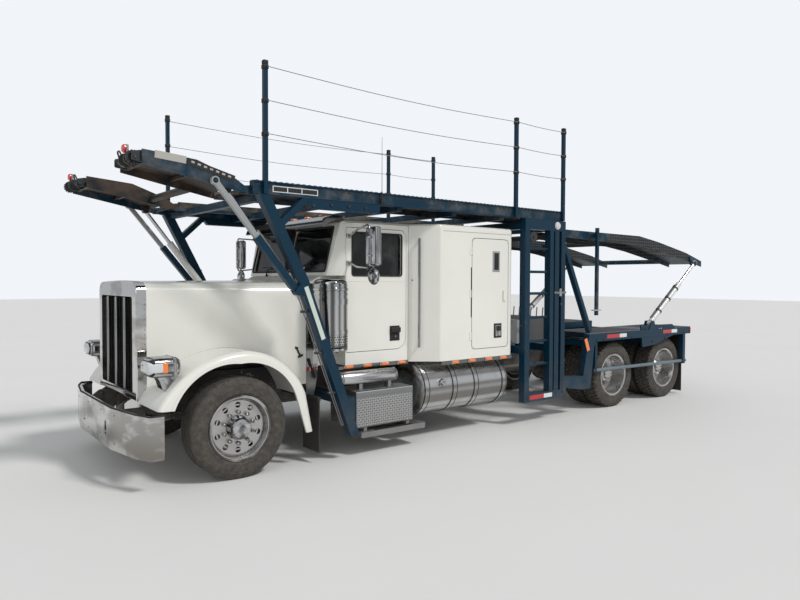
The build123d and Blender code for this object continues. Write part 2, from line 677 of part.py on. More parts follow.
def air_cleaner():
    """A turned canister: intake throat, drum with two bands, clamped lid and domed crown."""
    radius, low, high = CLEANER_RADIUS, CLEANER_BOTTOM, CLEANER_TOP
    cleaner = turned_standing([
        (0, low - 60), (104, low - 60), (114, low - 50), (114, low - 8),
        (radius - 12, low), (radius, low + 14), (radius, low + 128), (radius + 6, low + 128), (radius + 6, low + 164), (radius, low + 164),
        (radius, high - 262), (radius + 6, high - 262), (radius + 6, high - 226), (radius, high - 226),
        (radius, high - 126), (radius + 8, high - 122), (radius + 8, high - 98), (radius, high - 94),
        (radius, high - 62), (radius - 14, high - 26, VIA), (radius - 52, high - 8), (0, high),
    ], CLEANER_STATION, CLEANER_Y)
    for height in (1260, 1600):
        cleaner += block(CLEANER_STATION - 25, CLEANER_STATION + 25, COWL_HALF_WIDTH, CLEANER_Y - 100,
                         height - 25, height + 25)
    return cleaner


def lying_tank(front, rear, radius, dome, y, z, straps=()):
    """A tank with domed ends, and its straps standing proud of the shell."""
    crown, bulge = radius * 0.5, (dome * 0.32, radius * 0.84)
    profile = [(front, 0), (front, crown), (front + bulge[0], bulge[1], VIA), (front + dome, radius)]
    for station in straps:
        start, stop, proud = station - TANK_STRAP / 2, station + TANK_STRAP / 2, radius + TANK_STRAP_HEIGHT
        profile += [(start, radius), (start, proud), (stop, proud), (stop, radius)]
    profile += [(rear - dome, radius), (rear - bulge[0], bulge[1], VIA), (rear, crown), (rear, 0)]
    return turned_lying(profile, y, z)


def tanks():
    straps = (TANK_FRONT + 90, TANK_FRONT + 508, TANK_REAR - 560, TANK_REAR - 90)
    fuel = lying_tank(TANK_FRONT, TANK_REAR, TANK_RADIUS, 40, TANK_Y, TANK_Z, straps)
    for station in (TANK_FRONT + 200, TANK_REAR - 200):
        fuel += block(station - 30, station + 30, RAIL_WEB_Y, TANK_Y - 200,
                      RAIL_BOTTOM + 20, RAIL_BOTTOM + 180)
    air = lying_tank(1083, 1823, AIR_TANK_RADIUS, 24, 1095, 792)
    for station in (1350, 1720):
        air += block(station - 20, station + 20, 1060, 1130, BOX_TOP, 740)
    return both(fuel) + both(air)


def step_box():
    outer_y = FENDER_HALF_WIDTH
    box = block(BOX_FRONT, BOX_REAR, 700, outer_y, BOX_BOTTOM, BOX_TOP)
    box = fillet(box.edges().filter_by(Axis.X), 14)
    seam = block(BOX_FRONT - 1, BOX_REAR + 1, 690, outer_y + 1, BOX_LID, BOX_LID + 5)
    seam -= block(BOX_FRONT + 4, BOX_REAR - 4, 680, outer_y - 4, BOX_LID - 1, BOX_LID + 6)
    box -= seam
    lower = block(BOX_FRONT + 36, BOX_REAR + 150, 1010, 1240, 192, 250)
    lower = fillet(lower.edges().filter_by(Axis.Z), 26)
    tread = extrude(SlotOverall(*STEP_TREAD), 8)
    lower -= Pos(at((BOX_FRONT + BOX_REAR) / 2 + 93), 1125, 244) * tread
    for station in (BOX_FRONT + 120, BOX_REAR - 60):
        box += block(station - 20, station + 20, 1040, 1180, 240, BOX_BOTTOM + 1)
        box += block(station - 30, station + 30, RAIL_WEB_Y, 705, RAIL_BOTTOM + 5, BOX_TOP - 14)
    return box + lower


def side_trim():
    cab_rail = block(1180, CAB_REAR, CAB_HALF_WIDTH - 40, CAB_HALF_WIDTH, 868, CAB_FLOOR)
    cab_rail -= block(1170, CAB_SIDE_FRONT, COWL_HALF_WIDTH, 1300, 900, CAB_FLOOR + 1)
    sleeper_rail = block(SLEEPER_FLARE + 20, SLEEPER_REAR, SLEEPER_HALF_WIDTH - 40, SLEEPER_HALF_WIDTH,
                         846, SLEEPER_FLOOR)
    run = Vector(SLEEPER_FLARE - SLEEPER_FRONT, SLEEPER_HALF_WIDTH - CAB_HALF_WIDTH).normalized()
    foot_s = SLEEPER_FRONT + 95
    foot_y = CAB_HALF_WIDTH + 95 * run.Y / run.X
    out = (foot_s - run.Y * 60, foot_y + run.X * 60)
    handle = tube((out[0], out[1], 1054), (out[0], out[1], 2265), 15)
    for height in (1075, 2244):
        handle += tube((foot_s + run.Y * 2, foot_y - run.X * 2, height), (out[0], out[1], height), 12)
    skin = plan_plate(sleeper_outline(), 1000, 2300)
    return both(cab_rail) + both(sleeper_rail) + both(handle - skin)


def lamps():
    pieces = []
    for station in (1306, 1540, 1772, 2004):
        pieces += both(block(station - 34, station + 34, CAB_HALF_WIDTH, CAB_HALF_WIDTH + 22, 878, 902))
    for station in (2612, 2877, 3154, 3403):
        pieces += both(block(station - 34, station + 34, SLEEPER_HALF_WIDTH, SLEEPER_HALF_WIDTH + 22,
                             856, 880))
    for y in (700, 860, 1020):
        pieces += both(tube((WHEEL_DECK_REAR, y, 1025), (WHEEL_DECK_REAR + 30, y, 1025), 50))
    return pieces


def mudflaps():
    front = block(812, 824, 875, 1185, 110, 625) + block(803, 833, RAIL_WEB_Y, 1185, 620, 655)
    rear = block(WHEEL_DECK_REAR - 80, WHEEL_DECK_REAR - 70, RACK_HALF_WIDTH - 705, RACK_HALF_WIDTH - 100,
                 45, WHEEL_DECK_BOTTOM - 5)
    return both(front) + both(rear)


# Rack, towers and decks


def headrack_leg():
    inner, outer = RACK_HALF_WIDTH - RACK_TUBE, RACK_HALF_WIDTH
    leg = bar(LEG_FOOT, LEG_KNEE, LEG_DEPTH, inner, outer)
    leg += bar(along(LEG_KNEE, LEG_HEAD, -0.02), along(LEG_KNEE, LEG_HEAD, 1.16), LEG_DEPTH, inner, outer)
    deck_bottom = DECK_TOP - DECK_RAIL_HEIGHT
    leg -= block(-300, 900, inner - 5, outer + 5, deck_bottom, 2900)
    brace = bar((330, 2290), (660, 2600), 62, inner, outer)
    brace -= block(0, 900, inner - 5, outer + 5, deck_bottom, 2900)
    fascia = side_plate([(585, deck_bottom), (670, 2474), (1480, 2474), (1480, deck_bottom)], inner, outer - 20)
    sill = block(1110, 1230, RAIL_WEB_Y - RAIL_FLANGE, inner, 540, RAIL_BOTTOM)
    sill += side_plate([(1110, 540), (1230, 540), (1230, 400), (1160, 400)], inner - 60, inner)
    lugs = cross_pin(CYLINDER_FOOT, CYLINDER_Y - 45, inner + 5, PIN)
    foot_s, foot_z = STRUT_FOOT
    clevis_foot = [(foot_s + 120, foot_z - 50), (foot_s + 50, foot_z + 100), (foot_s - 20, foot_z + 30),
                   (foot_s - 32, foot_z), (foot_s - 12, foot_z - 32)]
    for y in (STRUT_Y - 44, STRUT_Y + 34):
        lugs += side_plate(clevis_foot, y, y + 10)
    lugs += cross_pin(STRUT_FOOT, STRUT_Y - 44, STRUT_Y + 44, PIN)
    return leg + brace + fascia + sill + lugs


def headrack_deck():
    inner = RACK_HALF_WIDTH - POLE - DECK_RAIL_WALL
    outer = RACK_HALF_WIDTH - POLE
    bottom = DECK_TOP - DECK_RAIL_HEIGHT
    rail = block(DECK_FRONT, DECK_REAR, inner, outer, bottom, DECK_TOP)
    runway = block(DECK_FRONT, DECK_REAR, RUNWAY_INNER, inner, RUNWAY_HEIGHT - RUNWAY_PLATE, RUNWAY_HEIGHT)
    runway += block(DECK_FRONT, DECK_REAR, RUNWAY_INNER, RUNWAY_INNER + 30, bottom, RUNWAY_HEIGHT + 30)
    outline = [(DECK_FRONT + 40, bottom), (DECK_FRONT + 40, 2650), (RAMP_HINGE[0] - 30, 2635),
               (RAMP_HINGE[0] - 30, bottom)]
    lug = side_plate(outline, inner, inner + 18) + side_plate(outline, RUNWAY_INNER + 6, RUNWAY_INNER + 24)
    side = rail + runway + lug
    side -= cross_pin(RAMP_HINGE, RUNWAY_INNER - 5, outer + 5, PIN + PIN_CLEARANCE)
    deck = side + right(side)
    for station in (230, 1010, 1790, 2570, 3350, 4300):
        deck += block(station - 35, station + 35, -RACK_HALF_WIDTH + RACK_TUBE, RACK_HALF_WIDTH - RACK_TUBE,
                      bottom - 40, bottom + 30)
    return deck


def ladder_towers():
    inner, outer = RACK_HALF_WIDTH - RACK_TUBE, RACK_HALF_WIDTH
    middle = (inner + outer) / 2
    bottom = DECK_TOP - DECK_RAIL_HEIGHT
    side = None
    posts = ((TOWER_FRONT, POST_DEPTH), (TOWER_REAR, 70), (DECK_REAR - 209, 82), (DECK_REAR - 80, 80))
    for front, depth in posts:
        post = block(front, front + depth, inner, outer, TOWER_BOTTOM, bottom)
        side = post if side is None else side + post
    side += block(TOWER_FRONT, DECK_REAR, inner, outer, TOWER_BOTTOM, TOWER_BOTTOM + 100)
    side += block(TOWER_FRONT, DECK_REAR, inner, outer, bottom - 130, bottom)
    for height in RUNG_HEIGHTS:
        side += tube((TOWER_FRONT + 80, middle, height), (TOWER_REAR + 10, middle, height), 17)
        side += block(DECK_REAR - 229, DECK_REAR - 69, middle - 20, middle + 20, height - 15, height + 15)
    strut = bar((DECK_REAR + 16, 2240), (WHEEL_DECK_FRONT - 113, 1108), 55, inner + 10, outer - 10)
    strut += block(DECK_REAR - 14, DECK_REAR + 46, inner + 10, outer - 10, 2180, 2260)
    tower = side + strut
    lug = side_plate([(DECK_REAR - 14, 2300), (DECK_REAR - 14, 2480), (DECK2_HINGE[0] + 35, 2460),
                      (DECK2_HINGE[0] + 35, 2380)], inner + 4, inner + 22)
    tower += lug
    tower -= cross_pin(DECK2_HINGE, inner - 5, outer + 5, PIN + PIN_CLEARANCE)
    tower += right(tower)
    for station in (TOWER_FRONT + 45, DECK_REAR - 168):
        tower += block(station - 40, station + 40, -inner, inner, RAIL_TOP, RAIL_TOP + 90)
        tower += block(station - 40, station + 40, -inner, inner, bottom - 130, bottom - 42)
    return tower


def link_rail():
    """The low rail from the tower's foot up to the deck over the drive wheels."""
    inner, outer, rear = RACK_HALF_WIDTH - RACK_TUBE, RACK_HALF_WIDTH, WHEEL_DECK_FRONT
    rail = side_plate([(DECK_REAR, 404), (DECK_REAR, 554), (rear - 290, 525), (rear - 165, WHEEL_DECK_TOP),
                       (rear, WHEEL_DECK_TOP), (rear, 1010), (rear - 55, 900), (rear - 130, 346),
                       (rear - 320, 346)], inner, outer)
    return both(rail)


def fender_decks():
    inner, outer = RACK_HALF_WIDTH - RACK_TUBE, RACK_HALF_WIDTH
    web = inner - 645
    front, rear, middle = WHEEL_DECK_FRONT, WHEEL_DECK_REAR, TANDEM_MIDDLE
    side = block(front, rear, inner, outer, WHEEL_DECK_BOTTOM, WHEEL_DECK_TOP)
    side += block(front, rear, web, inner, WHEEL_DECK_TOP - 20, WHEEL_DECK_TOP)
    side += block(front, rear, web, web + 30, WHEEL_DECK_BOTTOM, WHEEL_DECK_TOP)
    side += block(rear - 12, rear, web, inner, WHEEL_DECK_BOTTOM, WHEEL_DECK_TOP)
    gusset = side_plate([(middle - 130, 1151), (middle + 740, 1137), (middle + 888, 1033), (middle + 835, 980),
                         (middle + 232, 844), (middle - 80, 825)], outer - 24, outer - 8)
    lug = [(LIFT_FOOT[0] - 90, WHEEL_DECK_TOP - 5), (LIFT_FOOT[0] - 40, LIFT_FOOT[1] + 40),
           (LIFT_FOOT[0] + 40, LIFT_FOOT[1] + 40), (LIFT_FOOT[0] + 90, WHEEL_DECK_TOP - 5)]
    lugs = side_plate(lug, LIFT_Y - 55, LIFT_Y - 45) + side_plate(lug, LIFT_Y + 45, LIFT_Y + 55)
    lugs += cross_pin(LIFT_FOOT, LIFT_Y - 55, LIFT_Y + 55, LIFT_PIN)
    guard = tube((front - 20, inner + 45, 570), (rear - 70, inner + 45, 540), 23)
    guard += block(rear - 200, rear - 130, inner + 10, outer - 10, 500, WHEEL_DECK_BOTTOM + 5)
    guard += block(front, front + 45, inner + 20, outer - 20, 545, WHEEL_DECK_BOTTOM + 5)
    side = side + gusset + lugs + guard
    side += right(side)
    for station in (front + 45, middle, rear - 40):
        side += block(station - 30, station + 30, -inner, inner, RAIL_TOP, WHEEL_DECK_BOTTOM + 5)
    return side


def safety_poles():
    outer = RACK_HALF_WIDTH
    pieces = []
    for station in (200, 3520, DECK_REAR - 39):
        pole = block(station - POLE / 2, station + POLE / 2, outer - POLE, outer, POLE_FOOT + 30, POLE_TOP)
        pieces += both(pole)
    return pieces


def stinger_coupling():
    front, rear = RAIL_REAR - 260, RAIL_REAR - 5
    arm = side_plate([(front, RAIL_BOTTOM), (rear, RAIL_BOTTOM), (rear, 470), (COUPLING_STATION, 430),
                      (COUPLING_STATION, 340), (rear - 55, 340), (front, 480)], -150, 150)
    arm += tube((COUPLING_STATION, 0, 340), (COUPLING_STATION, 0, 430), 85)
    arm += block(front, rear, -RAIL_WEB_Y, RAIL_WEB_Y, RAIL_BOTTOM - 60, RAIL_BOTTOM)
    return arm - tube((COUPLING_STATION, 0, 330), (COUPLING_STATION, 0, 440), COUPLING_BORE)


def equipment():
    """Valve box, oil reservoir and the bank of valves with its row of levers."""
    top = RAIL_TOP + 90
    valve_box = block(3690, 4020, -1150, -500, top, 1560)
    reservoir = tube((3740, 620, 1160), (3740, 1120, 1160), 150) + block(3700, 3780, 700, 1040, top, 1020)
    valves = block(4240, 4330, 500, 1120, top, 1330)
    for index in range(LEVERS):
        y = 560 + index * LEVER_PITCH
        valves += tube((4285, y, 1320), (4300, y, 1450), 8)
    return [valve_box, reservoir, valves]


# Hood and what tilts with it


def hood_section(half, bottom, top, shoulder, station):
    """A hood section: straight sides, two round shoulders and a low crown between them."""
    eave = top - HOOD_CROWN
    inset = shoulder * (1 - math.sqrt(0.5))
    wire = [
        Line((half, bottom), (half, eave - shoulder)),
        ThreePointArc((half, eave - shoulder), (half - inset, eave - inset), (half - shoulder, eave)),
        ThreePointArc((half - shoulder, eave), (0, top), (shoulder - half, eave)),
        ThreePointArc((shoulder - half, eave), (inset - half, eave - inset), (-half, eave - shoulder)),
        Line((-half, eave - shoulder), (-half, bottom)),
        Line((-half, bottom), (half, bottom)),
    ]
    return Pos(at(station), 0, 0) * (Plane.YZ * make_face(wire))


def hood_loft(inset=0.0):
    over = 1 if inset else 0
    front, rear, bottom = GRILLE_FRONT + GRILLE_DEPTH - over, HOOD_REAR + over, HOOD_BOTTOM - over
    sections = [
        hood_section(GRILLE_HALF_WIDTH - inset, bottom, GRILLE_TOP - inset, HOOD_FRONT_SHOULDER, front),
        hood_section(HOOD_REAR_HALF - inset, bottom, HOOD_REAR_TOP - inset, HOOD_REAR_SHOULDER, rear),
    ]
    return loft(sections, ruled=True)


def arch_face(grow=0.0):
    """The fender's outline in side view, from its front lip over the wheel to its rear lip."""
    front, top, rear = (-735, 690), (60, 1150), (690, 700)
    foot = (765, 330)
    return Plane.XZ * make_face([
        ThreePointArc((at(front[0] - grow), front[1]), (at(-470), 985 + grow), (at(top[0]), top[1] + grow)),
        ThreePointArc((at(top[0]), top[1] + grow), (at(470), 1000 + grow), (at(rear[0] + grow), rear[1])),
        Line((at(rear[0] + grow), rear[1]), (at(foot[0] + grow), foot[1])),
        Line((at(foot[0] + grow), foot[1]), (at(front[0] - grow), foot[1])),
        Line((at(front[0] - grow), foot[1]), (at(front[0] - grow), front[1])),
    ])


def wheel_opening():
    front, top, rear, foot = (-600, 690), (0, 1045), (560, 700), (675, 330)
    return Plane.XZ * make_face([
        ThreePointArc((at(front[0]), front[1]), (at(-400), 950), (at(top[0]), top[1])),
        ThreePointArc((at(top[0]), top[1]), (at(385), 940), (at(rear[0]), rear[1])),
        Line((at(rear[0]), rear[1]), (at(foot[0]), foot[1] - 10)),
        Line((at(foot[0]), foot[1] - 10), (at(front[0]), foot[1] - 10)),
        Line((at(front[0]), foot[1] - 10), (at(front[0]), front[1])),
    ])


def from_side(face, y0, y1):
    return extrude(Pos(0, y1, 0) * face, y1 - y0, dir=(0, -1, 0))


def arched_solid(grow, y0, y1, shoulder):
    """The arch between two sides, its outer edge rounded over."""
    face = arch_face(grow)
    face = fillet([corner for corner in face.vertices() if corner.Z > 400], ARCH_SOFTENING)
    body = from_side(face, y0, y1)
    crest = [edge for edge in body.edges() if abs(edge.center().Y - y1) < 1 and edge.center().Z > 340]
    return fillet(crest, shoulder)


def fender():
    outer_y = FENDER_HALF_WIDTH
    body = arched_solid(0, FENDER_INNER_Y, outer_y, FENDER_SHOULDER)
    hollow = arched_solid(-FENDER_WALL, FENDER_INNER_Y - 1, outer_y - FENDER_WALL,
                          FENDER_SHOULDER - FENDER_WALL)
    hollow += block(-760, 900, FENDER_INNER_Y - 1, outer_y - FENDER_WALL, 300, 680)
    body -= hollow
    lip = from_side(offset(wheel_opening(), FENDER_LIP), outer_y - FENDER_WALL, outer_y + FENDER_LIP_HEIGHT)
    lip -= block(-800, 900, outer_y - 60, outer_y + 60, 200, 331)
    body += lip & from_side(arch_face(-4), outer_y - 60, outer_y + 60)
    body -= from_side(wheel_opening(), FENDER_INNER_Y - 1, outer_y + 20)
    body -= block(-760, -560, FENDER_INNER_Y - 1, outer_y + 20, 300, 690)
    body -= block(-760, GRILLE_FRONT + GRILLE_DEPTH + SEAT_GAP, 0, GRILLE_HALF_WIDTH + SEAT_GAP, 300, 1200)
    return body


def hood_shell():
    shell = hood_loft() - hood_loft(HOOD_WALL)
    cut = from_side(arch_face(1.0), FENDER_INNER_Y - 2, 1000)
    shell -= cut + right(cut)
    return shell


def grille_opening(s0, s1):
    half, low, high = GRILLE_OPENING_HALF, GRILLE_OPENING_BOTTOM, GRILLE_OPENING_TOP
    return front_plate([(-half, low), (-half, high), (half, high), (half, low)], s0, s1, GRILLE_OPENING_CORNER)


def grille_surround():
    back = GRILLE_FRONT + GRILLE_DEPTH
    face = hood_section(GRILLE_HALF_WIDTH, GRILLE_BOTTOM, GRILLE_TOP, HOOD_FRONT_SHOULDER, GRILLE_FRONT)
    frame = extrude(face, GRILLE_DEPTH, dir=(-1, 0, 0))
    rim_edges = [edge for edge in frame.edges() if abs(edge.center().X - at(GRILLE_FRONT)) < 1]
    frame = fillet(rim_edges, GRILLE_EDGE)
    frame -= grille_opening(GRILLE_FRONT - 5, back + 5)
    for side in (1, -1):
        near, far = side * (RAIL_WEB_Y + 6), side * (RAIL_WEB_Y + 22)
        frame += side_plate([(HINGE_STATION - 30, HINGE_HEIGHT - 28), (HINGE_STATION - 30, HINGE_HEIGHT + 20),
                             (GRILLE_FRONT + 18, GRILLE_BOTTOM + 6), (back, GRILLE_BOTTOM + 6),
                             (back, HINGE_HEIGHT - 28)], near, far)
        frame += cross_pin((HINGE_STATION, HINGE_HEIGHT), side * (RAIL_WEB_Y - 18), far, HINGE_RADIUS)
    return frame


def grille_bars():
    """The mesh across the opening and three bright bars with rounded fronts."""
    mesh = grille_opening(GRILLE_FRONT + 42, GRILLE_FRONT + 48)
    half = BAR_WIDTH / 2
    for index in (-1, 0, 1):
        y = index * BAR_PITCH
        rod = block(GRILLE_FRONT - 12, GRILLE_FRONT + 43, y - half, y + half,
                    GRILLE_OPENING_BOTTOM, GRILLE_OPENING_TOP)
        rod = fillet(rod.edges().filter_by(Axis.Z).sort_by(Axis.X)[-2:], half - 2)
        mesh += rod
    return mesh


def headlight():
    pod = block(-800, -500, 875, 1120, 965, 1135)
    pod = fillet(pod.edges(), HEADLIGHT_CORNER)
    post = block(-640, -560, 940, 1060, 800, 1000)
    fender_space = from_side(arch_face(SEAT_GAP), FENDER_INNER_Y, FENDER_HALF_WIDTH)
    return pod + (post - fender_space)


# Head ramp, its struts and cylinders


def head_ramp():
    hinge_s, hinge_z = RAMP_HINGE
    profile = [(hinge_s + 26, hinge_z + 22), (hinge_s + 26, hinge_z - 22), (hinge_s - 40, hinge_z - 24),
               (RAMP_FRONT, 2735), (RAMP_FRONT, 2852), (-410, 2815), (-60, 2690)]
    outer_y, inner_y = STRUT_Y - 28, RUNWAY_INNER - 12
    side = side_plate(profile, outer_y - 12, outer_y)
    side += side_plate(profile, inner_y, inner_y + 12)
    floor_low = bar((-40, 2625), (-410, 2740), 12, inner_y, outer_y)
    floor_high = bar((-405, 2738), (RAMP_FRONT + 4, 2792), 12, inner_y, outer_y)
    side += floor_low + floor_high
    side += cross_pin(RAMP_HINGE, inner_y, outer_y, PIN)
    for station, height in ((-820, 2780), (-420, 2725)):
        side += block(station - 18, station + 18, inner_y, outer_y, height - 30, height)
    lug = [(CYLINDER_EYE[0] + 45, 2640), (CYLINDER_EYE[0] + 25, CYLINDER_EYE[1] - 25),
           (CYLINDER_EYE[0] - 25, CYLINDER_EYE[1] - 25), (CYLINDER_EYE[0] - 45, 2655)]
    for y in (CYLINDER_Y - 36, CYLINDER_Y + 24):
        side += side_plate(lug, y, y + 12)
    side += cross_pin(CYLINDER_EYE, CYLINDER_Y - 36, CYLINDER_Y + 36, PIN)
    side += cross_pin(STRUT_EYE, outer_y - 6, STRUT_Y + 26, PIN)
    ramp = side + right(side)
    ramp += tube((-200, -inner_y - 5, 2668), (-200, inner_y + 5, 2668), 38)
    return ramp


def linkage_tube(p, q, start, stop, y, width, radius=0):
    """A tube on the line from p to q, between two distances from p."""
    length = math.hypot(q[0] - p[0], q[1] - p[1])
    a, b = along(p, q, start / length), along(p, q, stop / length)
    if radius:
        return tube((a[0], y, a[1]), (b[0], y, b[1]), radius)
    return bar(a, b, width, y - width / 2, y + width / 2)


def reach(p, q):
    return math.hypot(q[0] - p[0], q[1] - p[1])


def cylinder_barrel(foot, eye, y, radius, length, pin):
    barrel = linkage_tube(foot, eye, pin + 22, length, y, 0, radius)
    barrel += linkage_tube(foot, eye, 0, pin + 30, y, pin * 2 + 10)
    barrel += cross_pin(foot, y - pin - 5, y + pin + 5, pin + 16)
    barrel -= cross_pin(foot, y - 60, y + 60, pin + PIN_CLEARANCE)
    rod_bore = linkage_tube(foot, eye, 90, length + 10, y, 0, ROD_SHARE * radius + PIN_CLEARANCE)
    return barrel - rod_bore


def cylinder_rod(foot, eye, y, radius, start, bore):
    """A rod with an eye whose bore leaves room for the pin's path."""
    total = reach(foot, eye)
    rod = linkage_tube(foot, eye, start, total - bore - 5, y, 0, ROD_SHARE * radius)
    rod += cross_pin(eye, y - 20, y + 20, bore + 12)
    return rod - cross_pin(eye, y - 60, y + 60, bore)


def ramp_barrels():
    return both(cylinder_barrel(CYLINDER_FOOT, CYLINDER_EYE, CYLINDER_Y, 38, 800, PIN))


def ramp_rods():
    return both(cylinder_rod(CYLINDER_FOOT, CYLINDER_EYE, CYLINDER_Y, 38, 400, CYLINDER_EYE_BORE))


def strut_sleeves():
    sleeve = linkage_tube(STRUT_FOOT, STRUT_EYE, 34, 640, STRUT_Y, STRUT_WIDTH)
    sleeve -= linkage_tube(STRUT_FOOT, STRUT_EYE, 60, 650, STRUT_Y, STRUT_WIDTH - 10)
    sleeve += linkage_tube(STRUT_FOOT, STRUT_EYE, 0, 40, STRUT_Y, 40)
    sleeve += cross_pin(STRUT_FOOT, STRUT_Y - 20, STRUT_Y + 20, PIN + 14)
    return both(sleeve - cross_pin(STRUT_FOOT, STRUT_Y - 60, STRUT_Y + 60, PIN + PIN_CLEARANCE))


def strut_inners():
    total = reach(STRUT_FOOT, STRUT_EYE)
    inner = linkage_tube(STRUT_FOOT, STRUT_EYE, 200, total - 12, STRUT_Y, 44)
    inner += linkage_tube(STRUT_FOOT, STRUT_EYE, 196, 226, STRUT_Y, STRUT_WIDTH - 10 - 2 * SEAT_GAP)
    inner += cross_pin(STRUT_EYE, STRUT_Y - 22, STRUT_Y + 22, STRUT_EYE_BORE + 12)
    return both(inner - cross_pin(STRUT_EYE, STRUT_Y - 60, STRUT_Y + 60, STRUT_EYE_BORE))


# Rear deck and its cylinders


def deck_station(share):
    """A station on the rear deck, as a share of its length from the hinge."""
    return DECK2_HINGE[0] + DECK2_LENGTH * share


def rear_deck():
    """Two curved runways on cross tubes, the lift cylinders' lugs and a stowed pole."""
    front = DECK2_HINGE[0] - 30
    # Share of the length, top and underside
    rows = ((0.287, 2470, 2345), (0.495, 2465, 2330), (0.634, 2400, 2270),
            (0.865, 2255, 2130), (1.0, 2130, 2040))
    top = [(front, 2478)] + [(deck_station(share), high) for share, high, _ in rows]
    under = [(deck_station(share), low) for share, _, low in reversed(rows)] + [(front, 2380)]
    outer_y, inner_y = RACK_HALF_WIDTH - RACK_TUBE - 18, RUNWAY_INNER
    side = side_plate(top + under, outer_y - 12, outer_y) + side_plate(top + under, inner_y, inner_y + 12)
    for a, b in zip(top[:-1], top[1:]):
        side += bar((a[0], a[1] - 40), (b[0] + 3, b[1] - 40), 12, inner_y, outer_y)
    side -= block(REAR_END, REAR_END + 20, inner_y - 1, outer_y + 1, 1900, 2300)
    side += cross_pin(DECK2_HINGE, inner_y, RACK_HALF_WIDTH - RACK_TUBE + 26, PIN)
    lug = [(LIFT_EYE[0] - 70, 2200), (LIFT_EYE[0] + 70, 2175), (LIFT_EYE[0] + 30, LIFT_EYE[1] - 30),
           (LIFT_EYE[0] - 30, LIFT_EYE[1] - 30)]
    side += side_plate(lug, outer_y - 4, LIFT_Y - 32)
    side += cross_pin(LIFT_EYE, outer_y - 4, LIFT_Y + 34, LIFT_EYE_PIN)
    side += stowed_pole(outer_y)
    deck = side + right(side)
    for station, height in ((DECK2_HINGE[0] + 170, 2400), (deck_station(0.495), 2380), (REAR_END - 250, 2130)):
        deck += tube((station, -inner_y - 5, height), (station, inner_y + 5, height), 38)
    return deck


def stowed_pole(wall_y):
    """A spare pole hung upright beside the deck in a bracket."""
    station = STOWED_POLE_STATION
    pole = block(station - POLE / 2, station + POLE / 2, RACK_HALF_WIDTH - POLE, RACK_HALF_WIDTH,
                 STOWED_POLE_BOTTOM, STOWED_POLE_TOP)
    bracket = block(station - 32, station + 32, wall_y - 4, RACK_HALF_WIDTH - POLE + 5, 2385, 2445)
    return pole + bracket


def deck_barrels():
    return both(cylinder_barrel(LIFT_FOOT, LIFT_EYE, LIFT_Y, 40, 1010, LIFT_PIN))


def deck_rods():
    return both(cylinder_rod(LIFT_FOOT, LIFT_EYE, LIFT_Y, 40, 560, LIFT_EYE_BORE))


# Wheels


def tyre(station, y, width):
    half = width / 2
    profile = [(-half + 26, BEAD_RADIUS), (-half + 26, BEAD_RADIUS + 12), (-half, BEAD_RADIUS + 75),
               (-half + 8, TYRE_RADIUS - 42), (-half + 40, TYRE_RADIUS), (half - 40, TYRE_RADIUS),
               (half - 8, TYRE_RADIUS - 42),
               (half, BEAD_RADIUS + 75), (half - 26, BEAD_RADIUS + 12), (half - 26, BEAD_RADIUS)]
    return turned(profile, (station, y, AXLE_HEIGHT))


def rim(station, y, width, disc_y):
    """A rim barrel and the dished disc that carries it; disc_y is the disc's outer plane."""
    half = width / 2 - 26
    radius = BEAD_RADIUS - SEAT_GAP
    inner = radius - 15
    barrel = turned([(-half - 8, radius + 8), (-half - 8, inner), (half + 8, inner), (half + 8, radius + 8),
                     (half + SEAT_GAP, radius + 8), (half + SEAT_GAP, radius),
                     (-half - SEAT_GAP, radius), (-half - SEAT_GAP, radius + 8)],
                    (station, y, AXLE_HEIGHT))
    toward = 1 if disc_y < y else -1
    face = disc_y - y
    back = face + toward * DISC_THICKNESS
    weld = toward * max(toward * face + 30, -half + 2)
    disc = turned([(face, HUB_RADIUS - 2), (face, 246), (weld, inner + 2),
                   (weld + toward * 16, inner + 2), (back, 240), (back, HUB_RADIUS - 2)],
                  (station, y, AXLE_HEIGHT))
    middle = (disc_y + disc_y + toward * DISC_THICKNESS) / 2
    for index in range(HAND_HOLES):
        angle = math.radians(360 / HAND_HOLES * (index + 0.5))
        s = station + 205 * math.cos(angle)
        z = AXLE_HEIGHT + 205 * math.sin(angle)
        disc -= tube((s, middle - 25, z), (s, middle + 25, z), 27)
    return barrel + disc


def front_rim():
    y = FRONT_WHEEL_Y
    wheel = rim(0, y, FRONT_TYRE_WIDTH, y + 69)
    bore = KNUCKLE_SPINDLE + PIN_CLEARANCE
    hub = turned([(-40, bore), (-40, 66), (56, HUB_RADIUS), (105, HUB_RADIUS), (150, 78), (165, 60), (165, 0),
                  (75, 0), (75, bore)], (0, y, AXLE_HEIGHT))
    drum = turned([(-104, 196), (-104, 210), (56, 210), (56, 196)], (0, y, AXLE_HEIGHT))
    return wheel + hub + drum


def drive_rims(station):
    outer, inner = OUTER_DUAL_Y, OUTER_DUAL_Y - DUAL_SPACING
    wheels = rim(station, outer, DRIVE_TYRE_WIDTH, DISC_Y) + rim(station, inner, DRIVE_TYRE_WIDTH, DISC_Y)
    bore = AXLE_SPINDLE + PIN_CLEARANCE
    hub = turned([(-60, bore), (-60, HUB_RADIUS), (150, HUB_RADIUS), (165, 84), (190, 84), (190, 0),
                  (125, 0), (125, bore)], (station, DISC_Y, AXLE_HEIGHT))
    drum = turned([(-250, 196), (-250, 208), (-13, 208), (-13, 196)], (station, DISC_Y, AXLE_HEIGHT))
    return wheels + hub + drum


def drive_tyres(station):
    return [tyre(station, y, DRIVE_TYRE_WIDTH) for y in (OUTER_DUAL_Y, OUTER_DUAL_Y - DUAL_SPACING)]


# Writing the sub-parts

